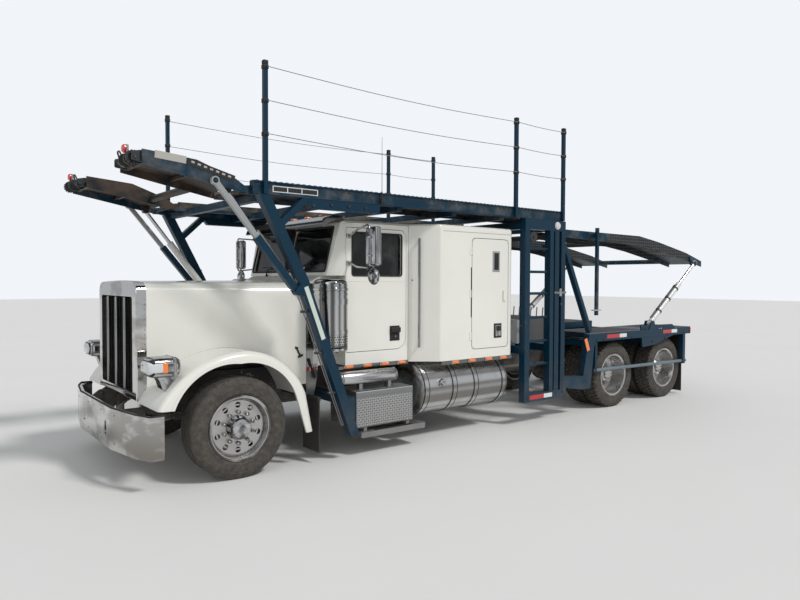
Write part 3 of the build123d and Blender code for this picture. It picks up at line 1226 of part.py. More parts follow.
node("chassis_frame", chassis_frame())
node("front_axle", front_axle())
node("drive_axles", drive_axles())
node("powertrain", powertrain())
node("bumper", bumper())
node("cab_shell", cab_shell())
node("cab_glass", cab_glass())
node("sun_visor", sun_visor())
node("sleeper_shell", sleeper_shell())
node("cab_interior", cab_interior())
node("air_cleaners", both(air_cleaner()))
node("tanks", tanks())
node("step_boxes", both(step_box()))
node("side_trim", side_trim())
node("lamps", lamps())
node("mudflaps", mudflaps())
node("headrack_legs", both(headrack_leg()))
node("headrack_deck", headrack_deck())
node("ladder_towers", ladder_towers())
node("link_rails", link_rail())
node("fender_decks", fender_decks())
node("safety_poles", safety_poles())
node("stinger_coupling", stinger_coupling())
node("equipment", equipment())

node("hood_shell", hood_shell())
node("front_fenders", both(fender()))
node("grille_surround", grille_surround())
node("grille_bars", grille_bars())
node("headlights", both(headlight()))

left_pieces = {
    "door": door(),
    "door_glass": door_glass(),
    "door_mirror": door_mirror(),
    "locker_door": locker_door(),
    "knuckle": knuckle(),
    "front_tyre": tyre(0, FRONT_WHEEL_Y, FRONT_TYRE_WIDTH),
    "front_rim": front_rim(),
}
for name, piece in left_pieces.items():
    node(name + "_left", piece)
    node(name + "_right", right(piece))

for number, station in ((1, WHEELBASE), (2, WHEELBASE + TANDEM_SPREAD)):
    tyres, rims = drive_tyres(station), drive_rims(station)
    node(f"drive_tyres_{number}_left", tyres)
    node(f"drive_tyres_{number}_right", [right(item) for item in tyres])
    node(f"drive_rims_{number}_left", rims)
    node(f"drive_rims_{number}_right", right(rims))

node("head_ramp", head_ramp())
node("ramp_barrels", ramp_barrels())
node("ramp_rods", ramp_rods())
node("strut_sleeves", strut_sleeves())
node("strut_inners", strut_inners())
node("rear_deck", rear_deck())
node("deck_barrels", deck_barrels())
node("deck_rods", deck_rods())
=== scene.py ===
import json
import math

import bmesh
import bpy
from mathutils import Matrix, Vector


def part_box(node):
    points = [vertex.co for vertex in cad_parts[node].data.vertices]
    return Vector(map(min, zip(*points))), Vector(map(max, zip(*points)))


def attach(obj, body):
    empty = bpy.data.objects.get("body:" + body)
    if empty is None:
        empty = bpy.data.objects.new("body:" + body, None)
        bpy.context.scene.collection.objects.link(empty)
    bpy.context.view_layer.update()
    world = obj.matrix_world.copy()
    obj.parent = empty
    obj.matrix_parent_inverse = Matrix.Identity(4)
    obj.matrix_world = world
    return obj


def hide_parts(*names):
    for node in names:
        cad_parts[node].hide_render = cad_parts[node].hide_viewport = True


# Looks of the car transporter truck. Metres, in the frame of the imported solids.
# A station is a distance behind the front axle, negative ahead of it.

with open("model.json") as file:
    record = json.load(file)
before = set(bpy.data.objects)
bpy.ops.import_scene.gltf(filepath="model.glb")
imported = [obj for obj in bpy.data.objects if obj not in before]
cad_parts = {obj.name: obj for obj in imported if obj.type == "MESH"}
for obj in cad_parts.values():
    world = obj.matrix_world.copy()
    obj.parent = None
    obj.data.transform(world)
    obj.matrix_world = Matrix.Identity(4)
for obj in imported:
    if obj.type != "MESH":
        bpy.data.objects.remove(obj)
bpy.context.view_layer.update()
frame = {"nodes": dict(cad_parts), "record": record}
NODES = frame["nodes"]

# Sizes read from the frame
TYRE_LOW, TYRE_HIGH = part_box("front_tyre_left")
AXLE_X = (TYRE_LOW.x + TYRE_HIGH.x) / 2
AXLE_Z = (TYRE_LOW.z + TYRE_HIGH.z) / 2
TYRE_RADIUS = (TYRE_HIGH.z - TYRE_LOW.z) / 2
FRONT_TYRE_WIDTH = TYRE_HIGH.y - TYRE_LOW.y
FRONT_WHEEL_Y = (TYRE_LOW.y + TYRE_HIGH.y) / 2
CAB_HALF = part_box("door_left")[0].y + 0.055
SLEEPER_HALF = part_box("locker_door_left")[0].y + 0.045
RACK_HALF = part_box("link_rails")[1].y

# Wheels
BEAD_RADIUS = 0.29
DRIVE_TYRE_WIDTH = 0.255
DUAL_SPACING = 0.318
OUTER_DUAL_Y = 1.08
DISC_Y = OUTER_DUAL_Y - DUAL_SPACING / 2
DRIVE_STATIONS = (5.7, 7.03)
STUD_RADIUS = 0.1425
STUDS = 10
LUG_COUNT = 46

# Paints and metals, linear colours
WHITE_PAINT = (0.79, 0.78, 0.715)
RACK_BLUE = (0.001, 0.026, 0.052)
RACK_SHEEN = 0.25
ROAD_DUST = (0.36, 0.31, 0.24)
RUST = (0.16, 0.075, 0.035)
LONG_GRAIN = (0.2, 6.0, 6.0)

# Camera, at the photograph's place and lens
CAMERA_PLACE = (6.134, 6.714, 1.799)
CAMERA_YAW = -128.187
CAMERA_PITCH = -1.712
CAMERA_ROLL = 0.207
CAMERA_FOCAL_PIXELS = 661.04
PHOTO_WIDTH = 800
SENSOR = 36.0

# Edges that bend by less than this are shaded soft
CREASE = math.radians(32)


def spot(station, y, z):
    """A point from its station, its side and its height."""
    return Vector((AXLE_X - station, y, z))


def at(place):
    """A point from a (station, side, height) tuple; a vector is a point already."""
    return place.copy() if isinstance(place, Vector) else spot(*place)


# Shader values and finishes


class Value:
    """A shader value on which arithmetic adds Math nodes."""

    def __init__(self, finish, socket):
        self.finish = finish
        self.socket = socket

    def maths(self, operation, *others, swap=False):
        """A Math node on this value and the others."""
        values = [self, *others]
        if swap:
            values.reverse()
        return self.finish.node("Math", {"operation": operation}, dict(enumerate(values)))

    def __add__(self, other):
        return self.maths("ADD", other)

    def __sub__(self, other):
        return self.maths("SUBTRACT", other)

    def __rsub__(self, other):
        return self.maths("SUBTRACT", other, swap=True)

    def __mul__(self, other):
        return self.maths("MULTIPLY", other)

    def __gt__(self, other):
        return self.maths("GREATER_THAN", other)

    def __lt__(self, other):
        return self.maths("LESS_THAN", other)

    def __abs__(self):
        return self.maths("ABSOLUTE")

    def repeat(self, pitch):
        """The distance from the middle of each pitch, 0 to half a pitch."""
        return self.maths("PINGPONG", pitch / 2)

    def clip(self):
        """Held between 0 and 1."""
        return self.finish.node("Clamp", {}, {0: self})

    def rise(self, low, high):
        """0 below low, 1 above high, eased between them."""
        settings = {"interpolation_type": "SMOOTHSTEP"}
        return self.finish.node("MapRange", settings, {"Value": self, "From Min": low, "From Max": high})


class Finish:
    """A material under way."""

    def __init__(self, name, **sockets):
        self.material = bpy.data.materials.new(name)
        self.material.use_nodes = True
        self.tree = self.material.node_tree
        self.shader = self.tree.nodes["Principled BSDF"]
        self.set(**sockets)
        self.coords = self.node("TexCoord", out="Object")

    def node(self, kind, settings=None, sockets=None, out=0):
        """Any node: its settings first, then the values or links of its sockets."""
        node = self.tree.nodes.new("ShaderNode" + kind)
        for key, value in (settings or {}).items():
            setattr(node, key, value)
        for key, value in (sockets or {}).items():
            self.feed(node.inputs[key], value)
        return Value(self, node.outputs[out])

    def feed(self, socket, value):
        """Links a value to a socket, or sets the socket to a constant."""
        if isinstance(value, Value):
            self.tree.links.new(value.socket, socket)
        elif isinstance(value, tuple) and socket.type == "RGBA":
            socket.default_value = (*value[:3], 1.0)
        else:
            socket.default_value = value

    def set(self, **sockets):
        """Feeds sockets of the shader by their names, with _ for a space."""
        for key, value in sockets.items():
            self.feed(self.shader.inputs[key.replace("_", " ")], value)
        return self

    def noise(self, scale, detail=4.0, stretch=None, roughness=0.55):
        """Noise that stays with the piece when it moves."""
        where = self.coords
        if stretch:
            where = self.node("Mapping", {}, {"Vector": where, "Scale": stretch})
        sockets = {"Vector": where, "Scale": scale, "Detail": detail, "Roughness": roughness}
        return self.node("TexNoise", {}, sockets)

    def place(self, axis):
        """One of the object coordinates, in metres."""
        return self.node("SeparateXYZ", {}, {0: self.coords}, out=axis)

    def facing_up(self):
        """1 on level faces that look up, 0 on upright ones and below."""
        normal = self.node("NewGeometry", out="Normal")
        return self.node("SeparateXYZ", {}, {0: normal}, out="Z").clip()

    def mix(self, factor, a, b):
        """A colour between two."""
        return self.node("Mix", {"data_type": "RGBA"}, {0: factor, 6: a, 7: b}, out=2)

    def bump(self, height, strength=0.3, distance=0.002):
        """Relief from a height of 0 to 1."""
        sockets = {"Strength": strength, "Distance": distance, "Height": height}
        return self.set(Normal=self.node("Bump", {}, sockets))


def shade(colour, factor):
    """A colour made lighter or darker."""
    return tuple(c * factor for c in colour)


def paint(name, colour, roughness=0.3, coat=0.6, dust=0.35, dust_top=1.1, chips=0.0, settled=0.15, sheen=0.5):
    """Sprayed paint with faint mottling, road dust low down and on ledges, and chipped spots."""
    f = Finish(name, Coat_Weight=coat, Coat_Roughness=0.06, Specular_IOR_Level=sheen)
    mottle = f.noise(2.2, 5.0)
    base = f.mix(mottle, shade(colour, 0.93), shade(colour, 1.05))
    low = 1 - f.place("Z").rise(0.25, dust_top)
    film = (low * dust * f.noise(6.0, 6.0).rise(0.25, 0.7) + f.facing_up() * settled * mottle).clip()
    base = f.mix(film, base, ROAD_DUST)
    rough = f.noise(14.0, 3.0) * 0.12 + film * 0.45 + (roughness - 0.06)
    if chips:
        spots = f.noise(38.0, 7.0, roughness=0.7)
        patch = f.noise(3.5, 2.0)
        bare = (spots + patch * 0.5).rise(1.0 - chips, 1.03 - chips)
        base = f.mix(bare, base, (0.33, 0.31, 0.29))
        rough = rough + bare * 0.3
    f.set(Base_Color=base, Roughness=rough.clip())
    return f.bump(f.noise(260.0, 2.0), 0.05, 0.0008).material


def metal(name, colour, roughness, brushed=None, smudge=0.12, dust=0.0, dust_top=0.9, painted_reflection=0.0):
    """Bright metal with smudges, a grain along one axis, dust low down and a painted reflection: dark bands
    that follow its curves.
    """
    f = Finish(name)
    smear = f.noise(9.0, 6.0)
    grain = f.noise(60.0, 3.0, brushed) if brushed else f.noise(45.0, 3.0)
    base = f.mix(smear, shade(colour, 0.88), colour)
    if painted_reflection:
        # Painted reflection: dark bands set by the direction each face points, standing in for dark
        # surroundings seen in the metal
        sockets = {"Vector": f.node("TexCoord", out="Normal"), "Scale": 2.4, "Detail": 3.0}
        curves = f.node("TexNoise", {}, sockets).rise(0.42, 0.55)
        base = f.mix(curves * painted_reflection, base, (0.075, 0.07, 0.062))
    rough = smear * smudge + grain * 0.06 + roughness
    metallic = 1.0
    if dust:
        film = ((1 - f.place("Z").rise(0.15, dust_top)) * f.noise(5.0, 6.0).rise(0.3, 0.75) * dust).clip()
        base = f.mix(film, base, ROAD_DUST)
        rough = rough + film * 0.5
        metallic = 1 - film * 0.8
    f.set(Base_Color=base, Roughness=rough.clip(), Metallic=metallic)
    return f.bump(grain, 0.04, 0.0006).material


def filmed_chrome(name):
    """Bright plate with patches of road film that thicken towards the ground."""
    f = Finish(name, Metallic=1.0)
    patches = f.noise(2.4, 4.0, (1.0, 1.0, 2.4)).rise(0.44, 0.6)
    low = 1 - f.place("Z").rise(0.3, 0.62)
    base = f.mix((patches * 0.5 + low * 0.28).clip(), (0.66, 0.66, 0.655), (0.15, 0.13, 0.1))
    f.set(Base_Color=base, Roughness=f.noise(12.0, 5.0) * 0.08 + 0.05)
    return f.bump(f.noise(50.0, 3.0), 0.03, 0.0006).material


def rubber(name, colour, dust, roughness=0.82):
    """Tyre and flap rubber, greyed by dust."""
    f = Finish(name)
    film = (f.noise(22.0, 8.0, roughness=0.7).rise(0.25, 0.85) * dust + f.noise(60.0, 3.0) * 0.06).clip()
    f.set(Base_Color=f.mix(film, colour, ROAD_DUST), Roughness=film * 0.12 + roughness)
    return f.bump(f.noise(180.0, 4.0), 0.2, 0.001).material


def lens(name, colour, glow=0.0):
    """Moulded lamp lens with fine flutes under its skin."""
    f = Finish(name, Coat_Weight=1.0, Coat_Roughness=0.05, Roughness=0.22, Specular_IOR_Level=0.6)
    flutes = f.place("X").repeat(0.008) * 125.0
    f.set(Base_Color=f.mix(flutes, shade(colour, 0.8), colour))
    if glow:
        f.set(Emission_Color=colour, Emission_Strength=glow)
    return f.bump(flutes, 0.25, 0.001).material


def glass(name, colour):
    """Dark tinted glazing with faint dust on it."""
    f = Finish(name, IOR=1.5)
    film = f.noise(5.0, 5.0).rise(0.45, 0.85)
    f.set(Base_Color=f.mix(film * 0.25, colour, (0.2, 0.2, 0.19)), Roughness=film * 0.15 + 0.03)
    f.set(Alpha=film * 0.06 + 0.72)
    return f.material


def decking(name):
    """Black runway plate, scuffed by tyres on top and rusty beneath and round its edges."""
    f = Finish(name)
    up = f.facing_up()
    rust = (f.noise(4.5, 7.0).rise(0.5, 0.75) * (1 - up * 0.6)).clip()
    scuff = f.noise(10.0, 6.0, (0.4, 3.0, 3.0)).rise(0.5, 0.75) * up
    base = f.mix(rust, (0.018, 0.02, 0.022), RUST)
    base = f.mix(scuff * 0.5, base, (0.16, 0.155, 0.145))
    f.set(Base_Color=base, Roughness=rust * 0.3 + 0.5)
    return f.bump(f.noise(70.0, 5.0), 0.25, 0.0015).material


def tape(name, colour):
    """Reflective tape with its fine cells."""
    f = Finish(name, Roughness=0.35, Coat_Weight=0.5)
    cells = f.node("TexVoronoi", {}, {"Vector": f.coords, "Scale": 220.0})
    f.set(Base_Color=f.mix(f.noise(12.0, 4.0) * 0.5, colour, shade(colour, 0.72)))
    return f.bump(cells, 0.15, 0.0005).material


def decked(name, inside, above, rear, under):
    """Rack paint on the rails, and bare dark plate between them, dirty beneath."""
    f = Finish(name, Specular_IOR_Level=RACK_SHEEN)
    blue = f.mix(f.noise(2.2, 5.0), shade(RACK_BLUE, 0.9), shade(RACK_BLUE, 1.06))
    blue = f.mix((f.noise(6.0, 6.0).rise(0.4, 0.75) * 0.22).clip(), blue, ROAD_DUST)
    rust = (f.noise(4.5, 7.0).rise(0.35, 0.65) * (1 - f.facing_up() * 0.7)).clip()
    plate = f.mix(rust, (0.014, 0.016, 0.018), under)
    between = (abs(f.place("Y")) < inside) * (f.place("Z") > above)
    if rear is not None:
        aft = f.place("X") < AXLE_X - 4.53 - rear
        between = (between + aft).clip() * (f.place("X") > AXLE_X - 7.72)
        along, high = f.place("X").repeat(0.055), f.place("Z").repeat(0.045)
        dots = (along * along + high * high < 0.00008) * aft * (1 - f.facing_up())
        plate = f.mix(dots, plate, (0.13, 0.14, 0.15))
    f.set(Base_Color=f.mix(between, blue, plate), Roughness=rust * between * 0.25 + 0.42)
    return f.bump(f.noise(90.0, 4.0), 0.12, 0.001).material


def upholstery(name, colour):
    """Grained dull trim and plastic."""
    f = Finish(name, Roughness=0.75)
    f.set(Base_Color=f.mix(f.noise(25.0, 4.0), shade(colour, 0.8), colour))
    return f.bump(f.noise(320.0, 3.0), 0.3, 0.001).material


def make_finishes():
    """Every finish by its key, which is also the slot of the nodes that wear it."""
    black = (0.022, 0.023, 0.024)
    return {
        "cab_paint": paint("white_gloss_paint", WHITE_PAINT, 0.22, 0.7, 0.22, 0.9, 0.0, 0.06),
        "rack_paint": paint("blue_rack_paint", RACK_BLUE, 0.36, 0.05, 0.1, 0.9, 0.035, 0.04, RACK_SHEEN),
        "frame_black": paint("black_frame_paint", black, 0.5, 0.1, 0.55, 1.0, 0.1, 0.2),
        "engine_iron": paint("engine_iron", (0.07, 0.07, 0.075), 0.6, 0.0, 0.5, 1.2, 0.1, 0.3),
        # Chrome, polished aluminium and wheel aluminium carry painted reflections: dark bands that follow
        # their curves
        "chrome": metal("chrome_plate", (0.6, 0.61, 0.62), 0.05, None, 0.1, 0.25, 0.7, 0.9),
        "filmed_chrome": filmed_chrome("filmed_chrome"),
        "polished_aluminium": metal("polished_aluminium", (0.66, 0.665, 0.67), 0.14, LONG_GRAIN, 0.2, 0.35,
                                    painted_reflection=0.7),
        # Tread plate darkened and its lozenges made bright: painted shade between the lozenges and a painted
        # highlight on them
        "tread_plate": metal("tread_plate", (0.3, 0.305, 0.31), 0.32, smudge=0.2, dust=0.4, dust_top=0.8),
        "tread_painted_highlight": metal("tread_painted_highlight", (0.85, 0.85, 0.85), 0.25, smudge=0.1),
        "wheel_aluminium": metal("wheel_aluminium", (0.7, 0.7, 0.705), 0.12, None, 0.16, 0.45, 1.4, 0.3),
        "tyre_rubber": rubber("tyre_rubber", (0.022, 0.021, 0.02), 0.22),
        "flap_rubber": rubber("flap_rubber", (0.012, 0.012, 0.012), 0.04, 0.6),
        "window_glass": glass("window_glass", (0.006, 0.008, 0.008)),
        "amber_lens": lens("amber_lens", (0.85, 0.2, 0.02), 0.15),
        "interior_trim": upholstery("interior_trim", (0.07, 0.068, 0.064)),
        "equipment_grey": paint("equipment_grey", (0.3, 0.31, 0.31), 0.45, 0.1, 0.3, 1.5, 0.1, 0.2),
        "cylinder_white": paint("cylinder_white", (0.66, 0.66, 0.63), 0.32, 0.3, 0.2, 1.5, 0.08, 0.1),
        "rod_chrome": metal("rod_chrome", (0.62, 0.63, 0.65), 0.14, smudge=0.06),
        "red_lens": lens("red_lens", (0.62, 0.02, 0.015), 0.12),
        "clear_lens": lens("clear_lens", (0.72, 0.74, 0.74)),
        "black_plastic": upholstery("black_plastic", (0.018, 0.018, 0.018)),
        "decking": decking("runway_plate"),
        "mesh": metal("grille_mesh", (0.05, 0.048, 0.045), 0.45, smudge=0.2),
        "cable": metal("steel_cable", (0.25, 0.25, 0.26), 0.4, smudge=0.2),
        "mirror_glass": metal("mirror_glass", (0.72, 0.75, 0.77), 0.015, smudge=0.02),
        "guard_paint": paint("guard_blue_grey_paint", (0.1, 0.16, 0.2), 0.45, 0.1, 0.3, 0.9),
        "worn_plate": paint("worn_plate", (0.42, 0.4, 0.36), 0.55, 0.0, 0.2, 1.0, 0.08, 0.2),
        "tape_red": tape("tape_red", (0.5, 0.015, 0.02)),
        "tape_white": tape("tape_white", (0.74, 0.75, 0.73)),
        "tape_pale": tape("tape_pale", (0.62, 0.68, 0.6)),
        "deck_paint": decked("head_deck_paint", 1.17, 2.6, None, (0.13, 0.11, 0.085)),
        "ramp_paint": decked("ramp_paint", 1.2, 2.0, None, (0.07, 0.048, 0.034)),
        "rear_deck_paint": decked("rear_deck_paint", 1.165, 2.0, 1.05, (0.03, 0.031, 0.032)),
    }


FINISH = make_finishes()


# Pieces


class Piece:
    """A piece under way, made of turned, pressed, bent and repeated shapes."""

    def __init__(self, finish):
        self.bm = bmesh.new()
        self.done = self.bm.faces.layers.int.new("done")
        self.finishes = []
        self.use(finish)

    def use(self, finish):
        """What is made from here on gets this finish."""
        self._settle()
        if finish not in self.finishes:
            self.finishes.append(finish)
        self.current = self.finishes.index(finish)
        return self

    def _settle(self):
        for face in self.bm.faces:
            if not face[self.done]:
                face.material_index = self.current
                face[self.done] = 1

    def ease(self, geom, offset, segments=2, affect="EDGES"):
        """Rounds these edges or corners."""
        return bmesh.ops.bevel(self.bm, geom=list(geom), offset=offset, segments=segments, affect=affect,
                               profile=0.5, material=-1, clamp_overlap=True)

    def block(self, low, high, ease=0.0, segments=2):
        """A box between two corners, with its edges eased."""
        low, high = at(low), at(high)
        size = [abs(edge) for edge in high - low]
        matrix = Matrix.Translation((low + high) / 2) @ Matrix.Diagonal((*size, 1.0))
        verts = bmesh.ops.create_cube(self.bm, size=1.0, matrix=matrix)["verts"]
        if ease:
            self.ease({edge for vert in verts for edge in vert.link_edges}, ease, segments)
        return self

    def rod(self, p, q, radius, end=None, sides=16, ease=0.0):
        """A round bar or cone from p to q."""
        p, q = at(p), at(q)
        axis = q - p
        matrix = Matrix.Translation((p + q) / 2) @ axis.to_track_quat("Z", "Y").to_matrix().to_4x4()
        made = bmesh.ops.create_cone(self.bm, cap_ends=True, segments=sides, radius1=radius,
                                     radius2=radius if end is None else end, depth=axis.length, matrix=matrix)
        if ease:
            edges = {edge for vert in made["verts"] for edge in vert.link_edges}
            self.ease([edge for edge in edges if max(len(face.verts) for face in edge.link_faces) > 4], ease)
        return self

    def turned(self, profile, centre, axis, steps=40, ring=False):
        """A shape turned about an axis from (distance along it, radius) points; a ring's outline closes."""
        axis, centre = Vector(axis).normalized(), at(centre)
        side = axis.orthogonal().normalized()
        verts = [self.bm.verts.new(centre + axis * a + side * r) for a, r in profile]
        edges = [self.bm.edges.new(pair) for pair in zip(verts, verts[1:] + (verts[:1] if ring else []))]
        before = len(self.bm.verts)
        bmesh.ops.spin(self.bm, geom=verts + edges, cent=centre, axis=axis, angle=math.tau, steps=steps,
                       use_merge=True, dvec=(0, 0, 0))
        self.bm.verts.ensure_lookup_table()
        new = list(self.bm.verts)[before - len(verts):]
        bmesh.ops.remove_doubles(self.bm, verts=new, dist=1e-5)
        return self

    def pressed(self, points, depth, corner=0.0, ease=0.0):
        """A plate from its outline, pushed out by depth, its corners and then its rim rounded."""
        verts = [self.bm.verts.new(at(p)) for p in points]
        face = self.bm.faces.new(verts)
        if corner:
            made = self.ease(verts, corner, 3, "VERTICES")["verts"]
            face = max({face for vert in made for face in vert.link_faces}, key=lambda face: face.calc_area())
        grown = bmesh.ops.extrude_face_region(self.bm, geom=[face])["geom"]
        top = [g for g in grown if isinstance(g, bmesh.types.BMVert)]
        bmesh.ops.translate(self.bm, verts=top, vec=depth)
        if ease:
            cap = next(g for g in grown if isinstance(g, bmesh.types.BMFace))
            self.ease(cap.edges, ease)
        return self

    def band(self, centre, axis, place, half, inner, outer, steps):
        """A flat ring round an axis, to either side of a place along it."""
        start, stop = place - half, place + half
        section = ((start, inner), (start, outer), (stop, outer), (stop, inner))
        return self.turned(section, centre, axis, steps, ring=True)

    def boxes(self, rows, face=0.0):
        """Boxes from rows: finish, two stations, two distances out from a face, two heights, easing."""
        for finish, s0, s1, y0, y1, z0, z1, *ease in rows:
            self.use(finish).block((s0, face + y0, z0), (s1, face + y1, z1), *ease)
        return self

    def plate(self, outline, y, depth, corner=0.0, ease=0.0):
        """A plate that faces sideways, from its outline in (station, z), its inner side and its depth."""
        return self.pressed([(s, y, z) for s, z in outline], Vector((0, depth, 0)), corner, ease)

    def studs(self, places, y0, y1, radius, sides=6):
        """Short round bars from one side to another at places given as (station, z)."""
        for station, z in places:
            self.rod((station, y0, z), (station, y1, z), radius, sides=sides)
        return self

    def pipe(self, points, radius, bend=None):
        """A bent tube; each corner turns within bend of its point, or without it all of the tube flows."""
        route = points = [at(point) for point in points]
        if bend:
            route = points[:1]
            for before, here, after in zip(points, points[1:], points[2:]):
                into, out = before - here, after - here
                route += [here + into.normalized() * min(bend, into.length / 2), here,
                          here + out.normalized() * min(bend, out.length / 2)]
            route.append(points[-1])
        curve = bpy.data.curves.new("route", "CURVE")
        curve.dimensions = "3D"
        curve.bevel_depth = radius
        curve.bevel_resolution = 1
        curve.resolution_u = 6
        curve.use_fill_caps = True
        spline = curve.splines.new("NURBS")
        spline.points.add(len(route) - 1)
        for point, place in zip(spline.points, route):
            point.co = (*place, 1.0)
        spline.order_u = 3
        spline.use_endpoint_u = True
        holder = bpy.data.objects.new("route", curve)
        mesh = bpy.data.meshes.new_from_object(holder)
        self.stamp(mesh)
        bpy.data.objects.remove(holder)
        bpy.data.curves.remove(curve)
        bpy.data.meshes.remove(mesh)
        return self

    def stamp(self, mesh, matrix=Matrix.Identity(4)):
        """A copy of a finished mesh, put where the matrix says."""
        before = len(self.bm.verts)
        self.bm.from_mesh(mesh)
        self.bm.verts.ensure_lookup_table()
        bmesh.ops.transform(self.bm, matrix=matrix, verts=self.bm.verts[before:])
        return self

    def both_sides(self):
        """Adds the mirror image on the passenger's side."""
        self._settle()
        geom = self.bm.verts[:] + self.bm.edges[:] + self.bm.faces[:]
        copy = bmesh.ops.duplicate(self.bm, geom=geom)["geom"]
        bmesh.ops.scale(self.bm, vec=(1, -1, 1), verts=[g for g in copy if isinstance(g, bmesh.types.BMVert)])
        bmesh.ops.reverse_faces(self.bm, faces=[g for g in copy if isinstance(g, bmesh.types.BMFace)])
        return self

    def flip(self):
        """Moves all of it to the passenger's side."""
        bmesh.ops.scale(self.bm, vec=(1, -1, 1), verts=self.bm.verts[:])
        bmesh.ops.reverse_faces(self.bm, faces=self.bm.faces[:])
        return self

    def mesh(self, name):
        """The finished mesh, with normals outwards and soft shading over gentle edges."""
        self._settle()
        bmesh.ops.recalc_face_normals(self.bm, faces=self.bm.faces[:])
        for face in self.bm.faces:
            face.smooth = True
        for edge in self.bm.edges:
            edge.smooth = len(edge.link_faces) == 2 and edge.calc_face_angle(math.pi) < CREASE
        self.bm.faces.layers.int.remove(self.done)
        mesh = bpy.data.meshes.new(name)
        self.bm.to_mesh(mesh)
        self.bm.free()
        return mesh

    def put(self, name, body, slot, replaces=()):
        """Hands the piece to its body and hides the nodes that it replaces; the slot, the colour slot of the
        nodes that it dresses or replaces, is not used.
        """
        mesh = self.mesh(name)
        for finish in self.finishes:
            mesh.materials.append(FINISH[finish])
        piece = bpy.data.objects.new(name, mesh)
        bpy.context.scene.collection.objects.link(piece)
        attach(piece, body)
        if replaces:
            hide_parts(*replaces)


# Nodes with a finish of their own
NODE_FINISH = {
    "headrack_deck": "deck_paint",
    "head_ramp": "ramp_paint",
    "rear_deck": "rear_deck_paint",
    "bumper": "filmed_chrome",
    "grille_surround": "filmed_chrome",
}


def dress_nodes():
    """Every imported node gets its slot's finish, soft shading and creases."""
    for row in frame["record"]["subparts"]:
        node = NODES[row["node"]]
        node.data.materials.clear()
        node.data.materials.append(FINISH[NODE_FINISH.get(row["node"], row["material_slot"])])
        for polygon in node.data.polygons:
            polygon.use_smooth = True
        if "custom_normal" in node.data.attributes:
            node.data.attributes.remove(node.data.attributes["custom_normal"])
        weld = node.modifiers.new("weld", "WELD")
        weld.merge_threshold = 0.00005
        split = node.modifiers.new("creases", "EDGE_SPLIT")
        split.split_angle = CREASE


# Stage


# Name, direction that it comes from, strength and spread in degrees
LAMPS = (("key", (-0.42, 0.9, 1.15), 1.75, 9.0), ("fill", (1.0, 0.7, 0.55), 0.35, 40.0))
SKY_LIGHT, SKY_SEEN = 0.55, 0.95


def stage():
    """A pale floor, a plain sky and two lamps, apart from the object."""
    floor_mesh = bpy.data.meshes.new("floor")
    bm = bmesh.new()
    bmesh.ops.create_grid(bm, x_segments=1, y_segments=1, size=60.0)
    bm.to_mesh(floor_mesh)
    bm.free()
    floor = bpy.data.objects.new("floor", floor_mesh)
    bpy.context.scene.collection.objects.link(floor)
    f = Finish("floor_paint", Roughness=0.85)
    f.set(Base_Color=f.mix(f.noise(0.6, 4.0), (0.70, 0.69, 0.67), (0.74, 0.73, 0.71)))
    floor_mesh.materials.append(f.material)

    world = bpy.data.worlds.new("studio")
    bpy.context.scene.world = world
    world.use_nodes = True
    tree = world.node_tree
    background = tree.nodes["Background"]
    rays = tree.nodes.new("ShaderNodeLightPath")
    seen = tree.nodes.new("ShaderNodeMath")
    seen.operation = "MAXIMUM"
    tree.links.new(rays.outputs["Is Camera Ray"], seen.inputs[0])
    tree.links.new(rays.outputs["Is Transmission Ray"], seen.inputs[1])
    strength = tree.nodes.new("ShaderNodeMapRange")
    strength.inputs["To Min"].default_value = SKY_LIGHT
    strength.inputs["To Max"].default_value = SKY_SEEN
    tree.links.new(seen.outputs[0], strength.inputs["Value"])
    tree.links.new(strength.outputs[0], background.inputs["Strength"])
    background.inputs["Color"].default_value = (0.93, 0.96, 1.0, 1.0)

    for name, direction, energy, angle in LAMPS:
        lamp = bpy.data.lights.new(name, "SUN")
        lamp.energy = energy
        lamp.angle = math.radians(angle)
        holder = bpy.data.objects.new(name, lamp)
        holder.rotation_euler = Vector(direction).to_track_quat("Z", "Y").to_euler()
        bpy.context.scene.collection.objects.link(holder)
    bpy.context.scene.view_settings.view_transform = "Standard"


def camera():
    """The photograph's camera."""
    yaw, pitch, roll = (math.radians(a) for a in (CAMERA_YAW, CAMERA_PITCH, CAMERA_ROLL))
    forward = Vector((math.cos(yaw) * math.cos(pitch), math.sin(yaw) * math.cos(pitch), math.sin(pitch)))
    level = Vector((math.sin(yaw), -math.cos(yaw), 0.0))
    rise = level.cross(forward)
    right = level * math.cos(roll) + rise * math.sin(roll)
    up = rise * math.cos(roll) - level * math.sin(roll)
    data = bpy.data.cameras.new("camera")
    data.sensor_width = SENSOR
    data.lens = CAMERA_FOCAL_PIXELS / PHOTO_WIDTH * SENSOR
    data.clip_end = 200.0
    holder = bpy.data.objects.new("camera", data)
    turn = Matrix((right, up, -forward)).transposed().to_4x4()
    holder.matrix_world = Matrix.Translation(CAMERA_PLACE) @ turn
    bpy.context.scene.collection.objects.link(holder)
    bpy.context.scene.camera = holder


# Wheels


# Half a tyre's section: distance in from its outer plane, and height over the bead or depth under the tread
WALL_FOOT = ((0.028, -0.001), (0.018, 0.012), (0.006, 0.03), (0.003, 0.036), (0.005, 0.04), (0.0, 0.075))
WALL_TOP = ((0.0005, 0.08), (0.004, 0.062), (0.002, 0.058), (0.009, 0.036), (0.018, 0.016), (0.026, 0.005))
# Profiles of a wheel's bright parts: distance outwards, radius
HUB_CAP = ((0.0, 0.108), (0.004, 0.112), (0.012, 0.108), (0.05, 0.103), (0.07, 0.099), (0.088, 0.086),
           (0.096, 0.062), (0.099, 0.03), (0.1, 0.0))
RIM_LIP = ((0.0, 0.276), (0.004, 0.282), (0.008, 0.292), (0.011, 0.298), (0.007, 0.301), (-0.002, 0.3))
RIBS = 5
LUG_DEPTH = 0.016
AXLE_BOLTS = 8
AXLE_BOLT_CIRCLE = 0.07


